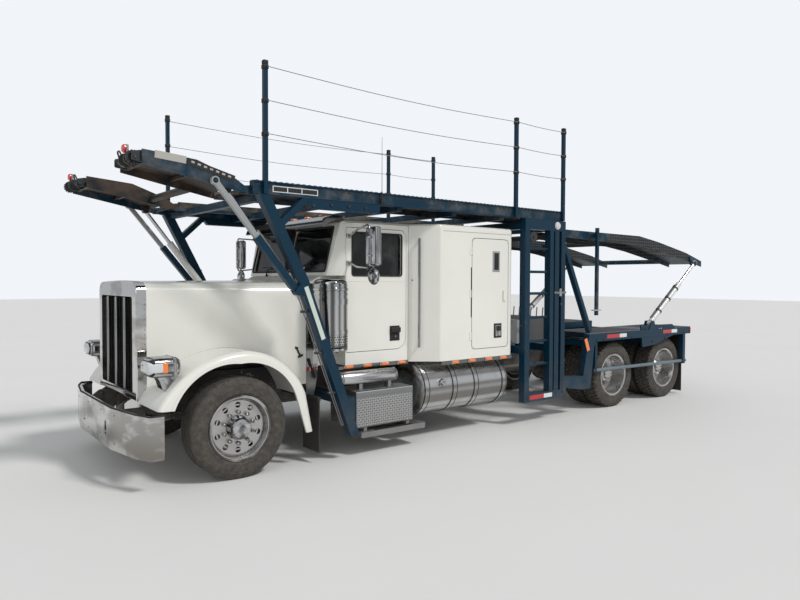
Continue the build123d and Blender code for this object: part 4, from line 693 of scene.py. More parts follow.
def rib_profile(half, groove=0.011, depth=0.013):
    """The running surface of a ribbed tyre, from one shoulder to the other."""
    edge = half - 0.034
    pitch = 2 * edge / RIBS
    points = []
    for index in range(RIBS):
        start, stop = -edge + index * pitch, -edge + (index + 1) * pitch
        if index:
            start += groove / 2
        if index < RIBS - 1:
            stop -= groove / 2
        points += [(start, TYRE_RADIUS), (stop, TYRE_RADIUS)]
        if index < RIBS - 1:
            points += [(stop + 0.001, TYRE_RADIUS - depth), (stop + groove - 0.001, TYRE_RADIUS - depth)]
    return points


def add_lugs(piece, centre, half):
    """Four rows of lugs round a drive tyre, each row half a step on from the last."""
    shoulder = half - 0.043
    # side, width, length
    rows = ((-shoulder, 0.045, 0.036), (-0.032, 0.052, 0.05), (0.032, 0.052, 0.05), (shoulder, 0.045, 0.036))
    for row, (across, wide, length) in enumerate(rows):
        half_size = Vector((length / 2, wide / 2, 0.0))
        lug = Piece("tyre_rubber").block(Vector((0, 0, -0.02)) - half_size, half_size, 0.003, 1).mesh("lug")
        for index in range(LUG_COUNT):
            angle = math.tau * (index + 0.5 * (row % 2)) / LUG_COUNT
            out = Matrix.Rotation(angle, 4, "Y") @ Matrix.Translation((0, across, TYRE_RADIUS - 0.0005))
            piece.stamp(lug, Matrix.Translation(centre) @ out)
        bpy.data.meshes.remove(lug)


def tyre(piece, station, y, width, lugs):
    """A tyre with moulded side walls, ribbed in front and with lugs on the drive wheels."""
    half = width / 2
    wall = [(a - half, BEAD_RADIUS + b) for a, b in WALL_FOOT]
    wall += [(a - half, TYRE_RADIUS - b) for a, b in WALL_TOP]
    crown = rib_profile(half)
    if lugs:
        wall.pop()
        crown = [(0.04 - half, TYRE_RADIUS - LUG_DEPTH), (half - 0.04, TYRE_RADIUS - LUG_DEPTH)]
    centre = spot(station, y, AXLE_Z)
    piece.turned(wall + crown + [(-a, r) for a, r in reversed(wall)], centre, (0, 1, 0), 80)
    if lugs:
        add_lugs(piece, centre, half)


def nut_circle(piece, station, y, side, radius, height, cover):
    """Wheel nuts, or tall bright covers over them."""
    for index in range(STUDS):
        angle = math.tau * (index + 0.5) / STUDS
        foot = spot(station + STUD_RADIUS * math.cos(angle), y, AXLE_Z + STUD_RADIUS * math.sin(angle))
        tip = foot + Vector((0, side * height, 0))
        piece.rod(foot, tip, radius, radius * (0.86 if cover else 1.0), 12 if cover else 6)
        piece.rod(tip, tip + Vector((0, side * height * 0.25, 0)), radius * (0.86 if cover else 0.5),
                  radius * (0.45 if cover else 0.5), 12)


def wheels():
    """Tyres, rim lips, nuts and hub caps of all six wheel ends."""
    for side, name in ((1, "left"), (-1, "right")):
        y = side * FRONT_WHEEL_Y
        axis = (0, side, 0)
        piece = Piece("tyre_rubber")
        tyre(piece, 0.0, y, FRONT_TYRE_WIDTH, False)
        piece.put(f"front_tyre_moulded_{name}", f"front_wheel_{name}", "tyre_rubber", [f"front_tyre_{name}"])
        trim = Piece("chrome")
        face = y + side * 0.069
        nut_circle(trim, 0.0, face, side, 0.019, 0.034, True)
        trim.turned(HUB_CAP, (0, face, AXLE_Z), axis, 40)
        trim.turned(RIM_LIP, (0, y + side * 0.123, AXLE_Z), axis, 64)
        trim.put(f"front_wheel_trim_{name}", f"front_wheel_{name}", "chrome")
        for row, station in enumerate(DRIVE_STATIONS, 1):
            body = f"drive_wheels_{row}_{name}"
            piece = Piece("tyre_rubber")
            for tyre_y in (OUTER_DUAL_Y, OUTER_DUAL_Y - DUAL_SPACING):
                tyre(piece, station, side * tyre_y, DRIVE_TYRE_WIDTH, True)
            piece.put(f"drive_tyres_moulded_{row}_{name}", body, "tyre_rubber", [f"drive_tyres_{row}_{name}"])
            trim = Piece("wheel_aluminium")
            trim.turned(RIM_LIP, (station, side * (OUTER_DUAL_Y + 0.105), AXLE_Z), axis, 64)
            trim.use("frame_black")
            nut_circle(trim, station, side * (DISC_Y + 0.012), side, 0.017, 0.02, False)
            for index in range(AXLE_BOLTS):
                angle = math.tau * index / AXLE_BOLTS
                along, up = AXLE_BOLT_CIRCLE * math.cos(angle), AXLE_BOLT_CIRCLE * math.sin(angle)
                foot = spot(station + along, side * (DISC_Y + 0.188), AXLE_Z + up)
                trim.rod(foot, foot + Vector((0, side * 0.012, 0)), 0.009, sides=6)
            trim.put(f"drive_wheel_trim_{row}_{name}", body, "wheel_aluminium")


# Front of the truck


GRILLE_LOW, GRILLE_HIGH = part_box("grille_bars")
MESH_PITCH = 0.013
WIRE_HALF = 0.0022
BAR_PLACES = (-0.28, 0.0, 0.28)
BAR_HALF = 0.015
SURROUND_HALF = 0.62
RIVET_STATION = -0.668
RIVET = {"radius": 0.0065, "end": 0.0035, "sides": 8}
BUMPER_LINE = ((-0.69, 1.19), (-0.80, 1.19), (-0.868, 1.003), (-0.94, 0.56))
BUMPER_TOP = 0.659


def grille():
    """Woven mesh behind three bright bars with rounded faces and domed tops."""
    y0, z0 = GRILLE_LOW.yz
    y1, z1 = GRILLE_HIGH.yz
    back = AXLE_X - GRILLE_LOW.x
    front = AXLE_X - GRILLE_HIGH.x
    piece = Piece("black_plastic").block((back, y0, z0), (back - 0.003, y1, z1)).use("mesh")
    for index in range(int((y1 - y0) / MESH_PITCH)):
        y = y0 + (index + 0.5) * MESH_PITCH
        piece.block((back - 0.003, y - WIRE_HALF, z0), (back - 0.0075, y + WIRE_HALF, z1))
    for index in range(int((z1 - z0) / MESH_PITCH)):
        z = z0 + (index + 0.5) * MESH_PITCH
        piece.block((back - 0.005, y0, z - WIRE_HALF), (back - 0.0095, y1, z + WIRE_HALF))
    piece.use("chrome")
    for y in BAR_PLACES:
        piece.block((back - 0.004, y - BAR_HALF, z0 + 0.004), (front, y + BAR_HALF, z1 - 0.004), 0.0135, 4)
    piece.put("grille_woven", "hood", "chrome", ["grille_bars"])


def rivets():
    """Rows of round heads down and over the rear edge of the grille's surround."""
    piece = Piece("polished_aluminium")
    face = SURROUND_HALF - 0.001
    for index in range(20):
        z = 0.76 + index * 0.045
        piece.rod((RIVET_STATION, face, z), (RIVET_STATION, face + 0.005, z), **RIVET)
    piece.both_sides()
    for index in range(19):
        y = (index - 9) * 0.054
        crown = 1.7725 + 0.0115 * (1 - (y / 0.515) ** 2)
        piece.rod((RIVET_STATION, y, crown - 0.001), (RIVET_STATION, y, crown + 0.005), **RIVET)
    piece.put("surround_rivets", "hood", "polished_aluminium")


# Station, z
HEADLIGHT_ARM = ((-0.71, 0.985), (-0.52, 0.985), (-0.55, 0.93), (-0.565, 0.87), (-0.60, 0.84), (-0.655, 0.855),
                 (-0.675, 0.92))


def headlights():
    """Rounded bright pods on swept arms, glazed round the corner over an amber turn lamp."""
    piece = Piece("chrome").boxes((
        ("chrome", -0.503, -0.786, 0.876, 1.116, 0.965, 1.135, 0.058, 7),
        ("chrome", -0.585, -0.545, 0.874, 1.1205, 0.962, 1.138, 0.018, 4),
    ))
    piece.plate(HEADLIGHT_ARM, 0.94, 0.115, 0.012, 0.012).boxes((
        ("black_plastic", -0.70, -0.7885, 0.886, 1.117, 0.976, 1.124, 0.045, 6),
        ("clear_lens", -0.6, -0.7985, 0.895, 1.1195, 0.986, 1.114, 0.045, 6),
        ("amber_lens", -0.625, -0.672, 1.0, 1.1225, 1.003, 1.097, 0.011, 4),
        ("chrome", -0.7, -0.8, 0.93, 1.03, 1.02, 1.095, 0.03, 5),
    ))
    piece.both_sides().put("headlight_pods", "hood", "chrome", ["headlights"])


def bumper_trim():
    """The rubber strip along the bumper's top edge, and its bolts."""
    line = BUMPER_LINE + tuple((s, -y) for s, y in reversed(BUMPER_LINE))
    route = [(s, y, BUMPER_TOP) for s, y in line]
    piece = Piece("black_plastic").pipe(route, 0.008, 0.03).use("polished_aluminium")
    for y, face in ((-0.62, -0.94), (-0.24, -0.95), (0.24, -0.95), (0.62, -0.94)):
        for z in (0.35, 0.6):
            piece.rod((face + 0.004, y, z), (face - 0.005, y, z), 0.011, 0.007, 12)
    piece.put("bumper_trim", "chassis", "flap_rubber")


def hood_trim():
    """Rubber hold-down latches at the hood's rear corners."""
    piece = Piece("black_plastic")
    piece.rod((0.768, 0.824, 1.112), (0.806, 0.833, 1.03), 0.011, 0.009, 10, 0.003)
    piece.rod((0.782, 0.834, 1.018), (0.832, 0.838, 1.038), 0.012, sides=10, ease=0.004)
    piece.rod((0.752, 0.822, 1.118), (0.784, 0.826, 1.104), 0.013, sides=10, ease=0.004)
    piece.both_sides().put("hood_latches", "hood", "flap_rubber")


def cowl_trim():
    """Cowl panels with louvred vents, skirts behind the fenders, their straps and tape."""
    piece = Piece("polished_aluminium").block((0.889, 0.799, 0.93), (0.972, 0.805, 1.765), 0.002, 1)
    skirt = ((0.89, 0.93), (1.03, 0.93), (1.022, 0.80), (0.965, 0.52), (0.91, 0.47), (0.89, 0.50))
    piece.plate(skirt, 0.8005, 0.006, 0.015)
    piece.use("chrome").block((0.893, 0.803, 1.14), (0.962, 0.810, 1.345), 0.006, 3).use("black_plastic")
    for index in range(5):
        z = 1.165 + index * 0.035
        piece.block((0.902, 0.806, z), (0.953, 0.812, z + 0.017), 0.003, 2)
    piece.rod((0.915, 0.812, 0.99), (0.945, 0.816, 0.90), 0.016, 0.011, 10, 0.004)
    piece.rod((0.945, 0.816, 0.90), (0.985, 0.812, 0.79), 0.011, 0.015, 10, 0.004)
    piece.boxes((
        ("tape_red", 0.893, 0.93, 0.806, 0.8085, 0.862, 0.905),
        ("tape_red", 0.968, 0.986, 0.806, 0.8085, 0.862, 0.905),
        ("tape_red", 1.0, 1.012, 0.806, 0.8085, 0.862, 0.905),
        ("tape_white", 0.93, 0.968, 0.806, 0.8085, 0.862, 0.905),
    ))
    piece.both_sides().put("cowl_trim", "chassis", "polished_aluminium")


# Cab


SHIELD_FOOT = Vector((1.085, 1.85))
SHIELD_HEAD = Vector((1.215, 2.395))
PANE_SPAN = (0.036, 0.845)
WINDOW = (1.345, 2.005, 1.845, 2.3)
CLEANER_CENTRE = (1.06, 1.0, 0.0)
CLEANER_RADIUS = 0.172


def on_shield(y, share, out=0.0):
    """A point on the windshield, from its side and its share of the height."""
    rise = SHIELD_HEAD - SHIELD_FOOT
    place = SHIELD_FOOT + rise * share
    normal = Vector((-rise.y, rise.x)).normalized() * out
    return spot(place.x + normal.x, y, place.y + normal.y)


def opening(start, stop, low, high):
    """The outline of an opening, begun and ended in the middle of its lower edge."""
    middle = (start + stop) / 2
    return [(middle, low), (stop, low), (stop, high), (start, high), (start, low), (middle, low)]


def windshield():
    """Rubber round both panes, the post between them and a pair of wipers."""
    piece = Piece("black_plastic")
    ring = opening(*PANE_SPAN, 0.07, 0.93)
    piece.pipe([on_shield(y, share, 0.002) for y, share in ring], 0.011, 0.055)
    piece.rod(on_shield(0.42, -0.01, 0.02), on_shield(0.40, 0.10, 0.035), 0.009, 0.006, 8)
    piece.rod(on_shield(0.40, 0.10, 0.035), on_shield(0.22, 0.16, 0.03), 0.006, 0.005, 8)
    piece.rod(on_shield(0.05, 0.13, 0.022), on_shield(0.55, 0.17, 0.022), 0.0055, sides=8)
    piece.rod(on_shield(0.42, -0.03, 0.0), on_shield(0.42, 0.0, 0.025), 0.018, 0.014, 12, 0.004)
    piece.both_sides().block(on_shield(-0.018, 0.04, 0.004), on_shield(0.018, 0.96, 0.004), 0.006, 2)
    piece.put("windshield_rubber", "chassis", "flap_rubber")


def cab_roof():
    """Rain gutters over the doors and marker lamps on the visor."""
    gutter = ((1.27, 0.956, 2.385), (1.4, 0.972, 2.395), (2.07, 0.972, 2.395))
    piece = Piece("cab_paint").pipe(gutter, 0.008, 0.05)
    piece.both_sides().put("roof_trim", "chassis", "cab_paint")
    lamps = Piece("chrome")
    for y in (-0.62, -0.31, 0.0, 0.31, 0.62):
        lamps.boxes((
            ("chrome", 1.16, 1.245, -0.045, 0.045, 2.466, 2.474, 0.004, 2),
            ("amber_lens", 1.17, 1.235, -0.034, 0.034, 2.472, 2.494, 0.012, 3),
        ), y)
    lamps.put("roof_lamps", "chassis", "amber_lens")


def air_cleaners():
    """Clamped bands round the air cleaners and the punched intake at their foot."""
    piece = Piece("chrome")
    for z, radius in ((1.655, 0.1785), (1.6, 0.181), (1.285, 0.178), (1.10, 0.178)):
        piece.band(CLEANER_CENTRE, (0, 0, 1), z, 0.011, CLEANER_RADIUS, radius, 44)
    piece.use("black_plastic")
    for row in range(6):
        for index in range(44):
            angle = math.tau * (index + row % 2 / 2) / 44
            out = Vector((math.cos(angle), math.sin(angle), 0))
            foot = at(CLEANER_CENTRE) + out * CLEANER_RADIUS + Vector((0, 0, 1.125 + row * 0.026))
            piece.rod(foot, foot + out * 0.0035, 0.0065, sides=6)
    piece.both_sides().put("air_cleaner_bands", "chassis", "chrome")


def put_on_side(piece, side, name, body, slot, replaced=None):
    """Hands a piece made on the driver's side to its body there, or turned over to the one across."""
    if side == "right":
        piece.flip()
    piece.put(f"{name}_{side}", f"{body}_{side}", slot, [f"{replaced}_{side}"] if replaced else ())


def door_fittings():
    """Window rubber, paddle handle, lock and belt line of a door."""
    ring = [(s, CAB_HALF + 0.001, z) for s, z in opening(*WINDOW)]
    piece = Piece("black_plastic").pipe(ring, 0.009, 0.06).boxes((
        ("black_plastic", 1.842, 1.978, -0.004, 0.006, 1.135, 1.3, 0.022, 3),
        ("black_plastic", 1.846, 1.976, 0.0, 0.034, 1.226, 1.282, 0.01, 3),
        ("black_plastic", 1.885, 1.94, 0.0, 0.012, 1.15, 1.215, 0.01, 3),
    ), CAB_HALF)
    piece.use("chrome").rod((1.912, CAB_HALF + 0.01, 1.183), (1.912, CAB_HALF + 0.016, 1.183), 0.012)
    return piece.boxes((("cab_paint", 1.285, 2.052, -0.002, 0.0025, 1.784, 1.79, 0.001, 1),), CAB_HALF)


MIRROR_STATION, MIRROR_Y = 1.235, 1.5
MIRROR_LOW, MIRROR_HIGH = 1.937, 2.318
BRACKET_ENDS = (2.255, 1.975)
SPOT_MIRROR_Z = 1.838
SPOT_MIRROR = ((0.036, 0.0), (0.033, 0.03), (0.024, 0.058), (0.008, 0.079), (-0.006, 0.086), (-0.016, 0.084),
               (-0.018, 0.078))
BRACKET_STATION = 1.3


def mirror():
    """A tall bright head folded down its middle, and a round one below it on the same bracket."""
    station, y, foot = MIRROR_STATION, MIRROR_Y, BRACKET_STATION
    low, high = MIRROR_LOW, MIRROR_HIGH
    piece = Piece("chrome").boxes((
        ("chrome", station - 0.034, station + 0.034, -0.094, 0.094, low, high, 0.026, 4),
        ("chrome", station - 0.042, station - 0.02, -0.012, 0.012, low + 0.02, high - 0.02, 0.008, 3),
    ), y)
    piece.turned(SPOT_MIRROR, (station, y, SPOT_MIRROR_Z), (1, 0, 0), 32)
    piece.rod((station, y, 1.87), (station, y, 1.95), 0.011, sides=12)
    for z in BRACKET_ENDS:
        pad = ("chrome", foot - 0.028, foot + 0.028, -0.002, 0.014, z - 0.024, z + 0.024, 0.006, 2)
        piece.boxes((pad,), CAB_HALF)
        piece.rod((foot, CAB_HALF + 0.01, z), (foot, CAB_HALF + 0.045, z), 0.019, 0.014, 12, 0.004)
    head, tail = ((foot, CAB_HALF + 0.04, z) for z in BRACKET_ENDS)
    bracket = (head, (1.262, 1.2, 2.315), (1.19, 1.475, 2.338), (1.19, y, 2.30),
               (1.19, y, 1.95), (1.19, 1.475, 1.915), (1.262, 1.2, 1.93), tail)
    piece.pipe(bracket, 0.0105, 0.06).boxes((
        ("chrome", 1.18, 1.215, -0.02, 0.02, 2.204, 2.236, 0.005, 2),
        ("chrome", 1.18, 1.215, -0.02, 0.02, 2.024, 2.056, 0.005, 2),
        ("mirror_glass", station + 0.033, station + 0.0365, -0.082, 0.082, low + 0.014, high - 0.014,
         0.0015, 1),
    ), y)
    glass_disc = ((0.0, 0.0), (0.001, 0.078), (-0.004, 0.078))
    return piece.turned(glass_disc, (station + 0.02, y, SPOT_MIRROR_Z), (-1, 0, 0), 32)


def doors():
    """What each door carries."""
    for side in ("left", "right"):
        put_on_side(door_fittings(), side, "door_fittings", "door", "flap_rubber")
        put_on_side(mirror(), side, "mirror", "door", "chrome", "door_mirror")


def locker_fittings():
    """The louvred vent and the paddle of a sleeper locker."""
    piece = Piece("equipment_grey").boxes((
        ("equipment_grey", 3.215, 3.335, -0.004, 0.007, 1.905, 2.15, 0.02, 3),
        ("black_plastic", 3.235, 3.315, 0.0, 0.009, 1.925, 2.13, 0.018, 3),
    ), SLEEPER_HALF)
    for index in range(7):
        z = 1.945 + index * 0.025
        piece.block((3.245, SLEEPER_HALF + 0.006, z), (3.305, SLEEPER_HALF + 0.013, z + 0.008), 0.002, 1)
    return piece.boxes((
        ("black_plastic", 3.243, 3.373, -0.004, 0.007, 1.112, 1.285, 0.02, 3),
        ("chrome", 3.262, 3.354, 0.0, 0.014, 1.13, 1.268, 0.014, 3),
        ("black_plastic", 3.272, 3.344, 0.008, 0.02, 1.195, 1.255, 0.008, 2),
    ), SLEEPER_HALF)


def sleeper():
    """The studs, locker seals and roof seam of the sleeper, and what its lockers carry."""
    piece = Piece("black_plastic")
    for station, y, z in ((2.41, 1.167, 2.276), (2.39, 1.16, 1.06), (2.13, 1.002, 1.8)):
        piece.rod((station, y, z), (station - 0.004, y + 0.012, z), 0.007, sides=10)
    seal = [(s, SLEEPER_HALF - 0.003, z) for s, z in opening(2.8745, 3.4855, 0.9985, 2.2915)]
    piece.pipe(seal, 0.0042, 0.075).boxes((
        ("black_plastic", 2.858, 2.868, -0.002, 0.005, 1.37, 1.95, 0.002, 1),
        ("equipment_grey", 2.43, 3.545, -0.002, 0.0015, 2.353, 2.358),
    ), SLEEPER_HALF)
    piece.both_sides().put("sleeper_seams", "chassis", "flap_rubber")
    for side in ("left", "right"):
        put_on_side(locker_fittings(), side, "locker_fittings", "locker", "equipment_grey")


# Side lamps, tanks and steps


# Stations of the amber lamps, the face they sit on and their height
SIDE_LAMPS = (
    ((1.306, 1.54, 1.772, 2.004), CAB_HALF, 0.89),
    ((2.612, 2.877, 3.154, 3.403), SLEEPER_HALF, 0.868),
)
TAIL_LAMP_SIDES = (0.7, 0.86, 1.02)
TAIL_STATION = AXLE_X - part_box("lamps")[0].x - 0.03
TAIL_BEZEL = ((0.0, 0.036), (0.0, 0.052), (0.012, 0.054), (0.018, 0.05), (0.014, 0.042))
TAIL_LENS = ((0.0, 0.0405), (0.014, 0.041), (0.022, 0.034), (0.0265, 0.018), (0.028, 0.0))
TANK_RADIUS, TANK_Y, TANK_Z = 0.3, 0.888, 0.575
STRAP_STATIONS = (2.202, 2.62, 2.96, 3.43)
AIR_TANK_Y, AIR_TANK_Z = 1.095, 0.792
FILLER_CAP = ((0.0, 0.0), (0.0, 0.047), (0.012, 0.047), (0.014, 0.04), (0.034, 0.039), (0.04, 0.034),
              (0.042, 0.0))


def lamps():
    """Domed amber lamps in bright bezels along both sides, and round red ones at the tail."""
    piece = Piece("chrome")
    for stations, face, z in SIDE_LAMPS:
        for station in stations:
            piece.boxes((
                ("chrome", station - 0.06, station + 0.06, -0.002, 0.008, z - 0.021, z + 0.021, 0.004, 2),
                ("amber_lens", station - 0.05, station + 0.05, 0.0, 0.026, z - 0.017, z + 0.017, 0.0165, 6),
            ), face)
    for y in TAIL_LAMP_SIDES:
        centre = (TAIL_STATION, y, 1.025)
        piece.use("black_plastic").turned(TAIL_BEZEL, centre, (-1, 0, 0), 24, ring=True)
        piece.use("red_lens").turned(TAIL_LENS, centre, (-1, 0, 0), 24)
    piece.both_sides().put("lamps_moulded", "chassis", "amber_lens", ["lamps"])


def tank_fittings():
    """Fillers, dark strap edges and treads on the fuel tanks, bands and drains on the air tanks."""
    piece = Piece("chrome")
    lean = math.radians(14)
    out = Vector((0, math.cos(lean), math.sin(lean)))
    foot = spot(2.425, TANK_Y, TANK_Z) + out * (TANK_RADIUS - 0.004)
    piece.turned(FILLER_CAP, foot, out, 28)
    half_key = Vector((0.02, 0, 0))
    piece.rod(foot + out * 0.04 + half_key, foot + out * 0.05 - half_key, 0.006, sides=8)
    piece.use("black_plastic")
    for station in STRAP_STATIONS:
        for edge in (-0.032, 0.032):
            centre = (station, TANK_Y, TANK_Z)
            piece.band(centre, (1, 0, 0), edge, 0.005, TANK_RADIUS - 0.002, TANK_RADIUS + 0.006, 56)
    low, high = TANK_Z + TANK_RADIUS - 0.006, TANK_Z + TANK_RADIUS + 0.007
    for first, last in ((2.14, 2.19), (2.66, 2.92), (3.0, 3.4)):
        for index in range(max(1, int((last - first) / 0.02))):
            station = first + index * 0.02
            piece.block((station, TANK_Y - 0.05, low), (station + 0.009, TANK_Y + 0.11, high), 0.002, 1)
    piece.both_sides().put("tank_fittings", "chassis", "polished_aluminium")
    air = Piece("chrome")
    for station in (1.118, 1.787):
        air.band((station, AIR_TANK_Y, AIR_TANK_Z), (1, 0, 0), 0.0, 0.008, 0.07, 0.0755, 36)
    air.rod((1.084, AIR_TANK_Y, AIR_TANK_Z), (1.074, AIR_TANK_Y, AIR_TANK_Z), 0.016, sides=6)
    air.both_sides().put("air_tank_bands", "chassis", "polished_aluminium")


def lozenges(piece, low, high, out, pitch=0.024):
    """Raised lozenges in alternate slants over a plate that lies along the truck, lighter than the plate as a
    painted highlight.
    """
    low, size = at(low), at(high) - at(low)
    across = Vector((-1, 0, 0))
    up = Vector(out).cross(across)
    if up.z < 0 or (abs(up.z) < 0.1 and up.y < 0):
        up.negate()
    half = Vector((0.0105, 0.0032, 0.0))
    bump = Piece("tread_painted_highlight").block(-half, half + Vector((0, 0, 0.003)), 0.0015, 1).mesh("lozenge")
    basis = Matrix((across, up, Vector(out))).transposed().to_4x4()
    piece.use("tread_painted_highlight")
    for row in range(int(abs(size.dot(up)) / pitch)):
        for column in range(int(abs(size.dot(across)) / pitch)):
            slant = math.radians(45 if (row + column) % 2 else -45)
            place = low + across * (column + 0.5) * pitch + up * (row + 0.5) * pitch
            piece.stamp(bump, Matrix.Translation(place) @ basis @ Matrix.Rotation(slant, 4, "Z"))
    bpy.data.meshes.remove(bump)


def step_trim():
    """Tread plate lozenges on the boxes' faces and lids, a black sheet of painted shade on their front faces,
    and grips on the lower steps.
    """
    piece = Piece("tread_plate")
    lozenges(piece, (1.26, 1.1898, 0.30), (1.985, 1.1898, 0.6), (0, 1, 0))
    lozenges(piece, (1.26, 0.94, 0.6598), (1.985, 1.18, 0.6598), (0, 0, 1))
    piece.boxes((
        # Painted shade: a thin black sheet over the box's front face, where shade falls
        ("frame_black", 1.2505, 1.2515, 0.71, 1.18, 0.29, 0.655),
        ("black_plastic", 1.46, 1.97, 1.19, 1.236, 0.246, 0.2525, 0.002, 1),
    ))
    for index in range(24):
        station = 1.472 + index * 0.0205
        piece.block((station, 1.193, 0.25), (station + 0.01, 1.233, 0.2555), 0.001, 1)
    piece.both_sides().put("step_treads", "chassis", "tread_plate")


# Rack and decks


# The runways of each deck: name of the piece, its body, inner and outer side, then (station, z) along its top
RUNWAYS = (
    ("head_runways", "chassis", 0.642, 1.183, ((0.1, 2.633), (4.45, 2.633))),
    ("rear_runways", "rear_deck", 0.624, 1.173,
     ((4.51, 2.447), (5.569, 2.440), (6.322, 2.435), (6.825, 2.370), (7.661, 2.225), (8.14, 2.1))),
    ("ramp_runways", "head_ramp", 0.612, 1.208, ((-0.84, 2.801), (-0.41, 2.750), (-0.05, 2.638))),
)
DECK_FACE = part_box("headrack_deck")[1].y
DECK_ENDS = (0.1, 4.45)
AERIAL_STATION, AERIAL_Y = 1.5, 1.282


def walk(path, distance):
    """The place and slope at a distance along a side-view path."""
    for a, b in zip(path, path[1:]):
        run = math.dist(a, b)
        if distance <= run or b == path[-1]:
            share = distance / run
            slope = -math.atan2(a[1] - b[1], b[0] - a[0])
            return (a[0] + (b[0] - a[0]) * share, a[1] + (b[1] - a[1]) * share), slope
        distance -= run


def punched_row(length, width, pitch, hole, thickness):
    """One row of a punched plate across a runway."""
    bm = bmesh.new()
    count = max(1, round(width / pitch))
    wide = width / count
    for index in range(count):
        centre = Vector((0, (index + 0.5) * wide, 0))
        place = Matrix.Translation(centre)
        rim = bmesh.ops.create_circle(bm, segments=8, radius=hole, matrix=place)["verts"]
        rest = bmesh.ops.create_circle(bm, segments=8, radius=pitch, matrix=place)["verts"]
        for vert in rest:
            out = vert.co - centre
            out /= max(abs(out.x), abs(out.y))
            vert.co = centre + Vector((out.x * length / 2, out.y * wide / 2, 0))
        bmesh.ops.bridge_loops(bm, edges=list({edge for vert in rim + rest for edge in vert.link_edges}))
    bmesh.ops.remove_doubles(bm, verts=bm.verts, dist=1e-5)
    bmesh.ops.recalc_face_normals(bm, faces=bm.faces)
    bmesh.ops.solidify(bm, geom=bm.faces[:], thickness=thickness)
    mesh = bpy.data.meshes.new("row")
    bm.to_mesh(mesh)
    bm.free()
    return mesh


def runway(piece, path, y0, y1, pitch=0.062, hole=0.019, thickness=0.006):
    """A punched plate that follows a side-view path between two sides."""
    total = sum(math.dist(a, b) for a, b in zip(path, path[1:]))
    rows = round(total / pitch)
    row = punched_row(total / rows, y1 - y0, pitch, hole, thickness)
    for index in range(rows):
        (station, z), slope = walk(path, (index + 0.5) * total / rows)
        piece.stamp(row, Matrix.Translation(spot(station, y0, z)) @ Matrix.Rotation(slope, 4, "Y"))
    bpy.data.meshes.remove(row)


def decks():
    """Punched runways over the cab, at the rear and on the head ramp, and a strap on the stowed pole."""
    for name, body, y0, y1, path in RUNWAYS:
        piece = Piece("decking")
        runway(piece, path, y0, y1)
        if body == "rear_deck":
            piece.use("worn_plate").block((5.075, 1.252, 1.392), (5.245, 1.298, 1.408), 0.003, 1)
        piece.both_sides().put(name, body, "rack_paint")


def deck_rails():
    """Slots along the deck rails, ribbed lips, framed cut-outs by the legs, and whip aerials."""
    piece = Piece("black_plastic")
    for index in range(46):
        s = 0.95 + index * 0.074
        piece.boxes((("black_plastic", s, s + 0.042, -0.001, 0.0015, 2.648, 2.664, 0.001, 1),), DECK_FACE)
    piece.boxes((
        ("rack_paint", *DECK_ENDS, 0.0, 0.012, 2.676, 2.69, 0.004, 2),
        ("rack_paint", *DECK_ENDS, 0.0, 0.01, 2.566, 2.576, 0.003, 2),
        ("tape_white", 0.282, 0.76, -0.001, 0.003, 2.597, 2.655, 0.001, 1),
        ("black_plastic", 0.292, 0.43, 0.0, 0.0045, 2.605, 2.647, 0.001, 1),
        ("black_plastic", 0.44, 0.58, 0.0, 0.0045, 2.605, 2.647, 0.001, 1),
        ("black_plastic", 0.59, 0.75, 0.0, 0.0045, 2.605, 2.647, 0.001, 1),
    ), DECK_FACE)
    piece.use("rack_paint")
    for index in range(72):
        station = 0.12 + index * 0.06
        piece.block((station, 1.187, 2.689), (station + 0.03, 1.253, 2.696), 0.003, 1)
    s, y = AERIAL_STATION, AERIAL_Y
    piece.use("black_plastic").block((s - 0.025, 1.253, 2.585), (s + 0.025, 1.262, 2.635), 0.004, 1)
    piece.rod((s, 1.26, 2.61), (s, 1.288, 2.61), 0.009, sides=10)
    piece.rod((s, y, 2.585), (s, y, 2.70), 0.012, 0.007, 10)
    piece.use("cable").rod((s, y, 2.70), (s, y, 3.25), 0.0034, 0.002, 6)
    piece.both_sides().put("deck_rail_trim", "chassis", "rack_paint")


POLE_STATIONS = (0.2, 3.52, 4.415)
POLE_Y = 1.275
POLE_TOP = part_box("safety_poles")[1].z
CABLE_HEIGHTS = (3.7, 3.4, 3.105)
CABLE_SAG = 0.012
# Share of a span, share of its sag
CABLE_CURVE = ((0.0, 0.0), (0.25, 0.75), (0.5, 1.0), (0.75, 0.75), (1.0, 0.0))
POST_HOLES = ((4.286, 0.016), (4.414, 0.014))
RUNG_HEIGHTS = (0.75, 1.04, 1.34, 1.64, 1.91, 2.2)
PULLEY = ((-0.022, 0.014), (-0.022, 0.066), (-0.01, 0.052), (0.01, 0.052), (0.022, 0.066), (0.022, 0.014))
PULLEY_PLACE = (3.86, 1.25, 2.345)
DOMED_LAMP = ((0.0, 0.0), (0.0, 0.05), (0.012, 0.05), (0.026, 0.036), (0.032, 0.0))
# Station, z, length of red, length of white
TAPES = ((3.78, 0.345, 0.27, 0.16), (5.39, 1.028, 0.3, 0.17), (6.83, 1.03, 0.24, 0.16))


def strip(piece, p, q, y, width, thick=0.0015):
    """A flat strip in side view between two (station, z) places."""
    p, q = Vector(p), Vector(q)
    side = (q - p).orthogonal().normalized() * width / 2
    piece.plate((p + side, q + side, q - side, p - side), y, thick)


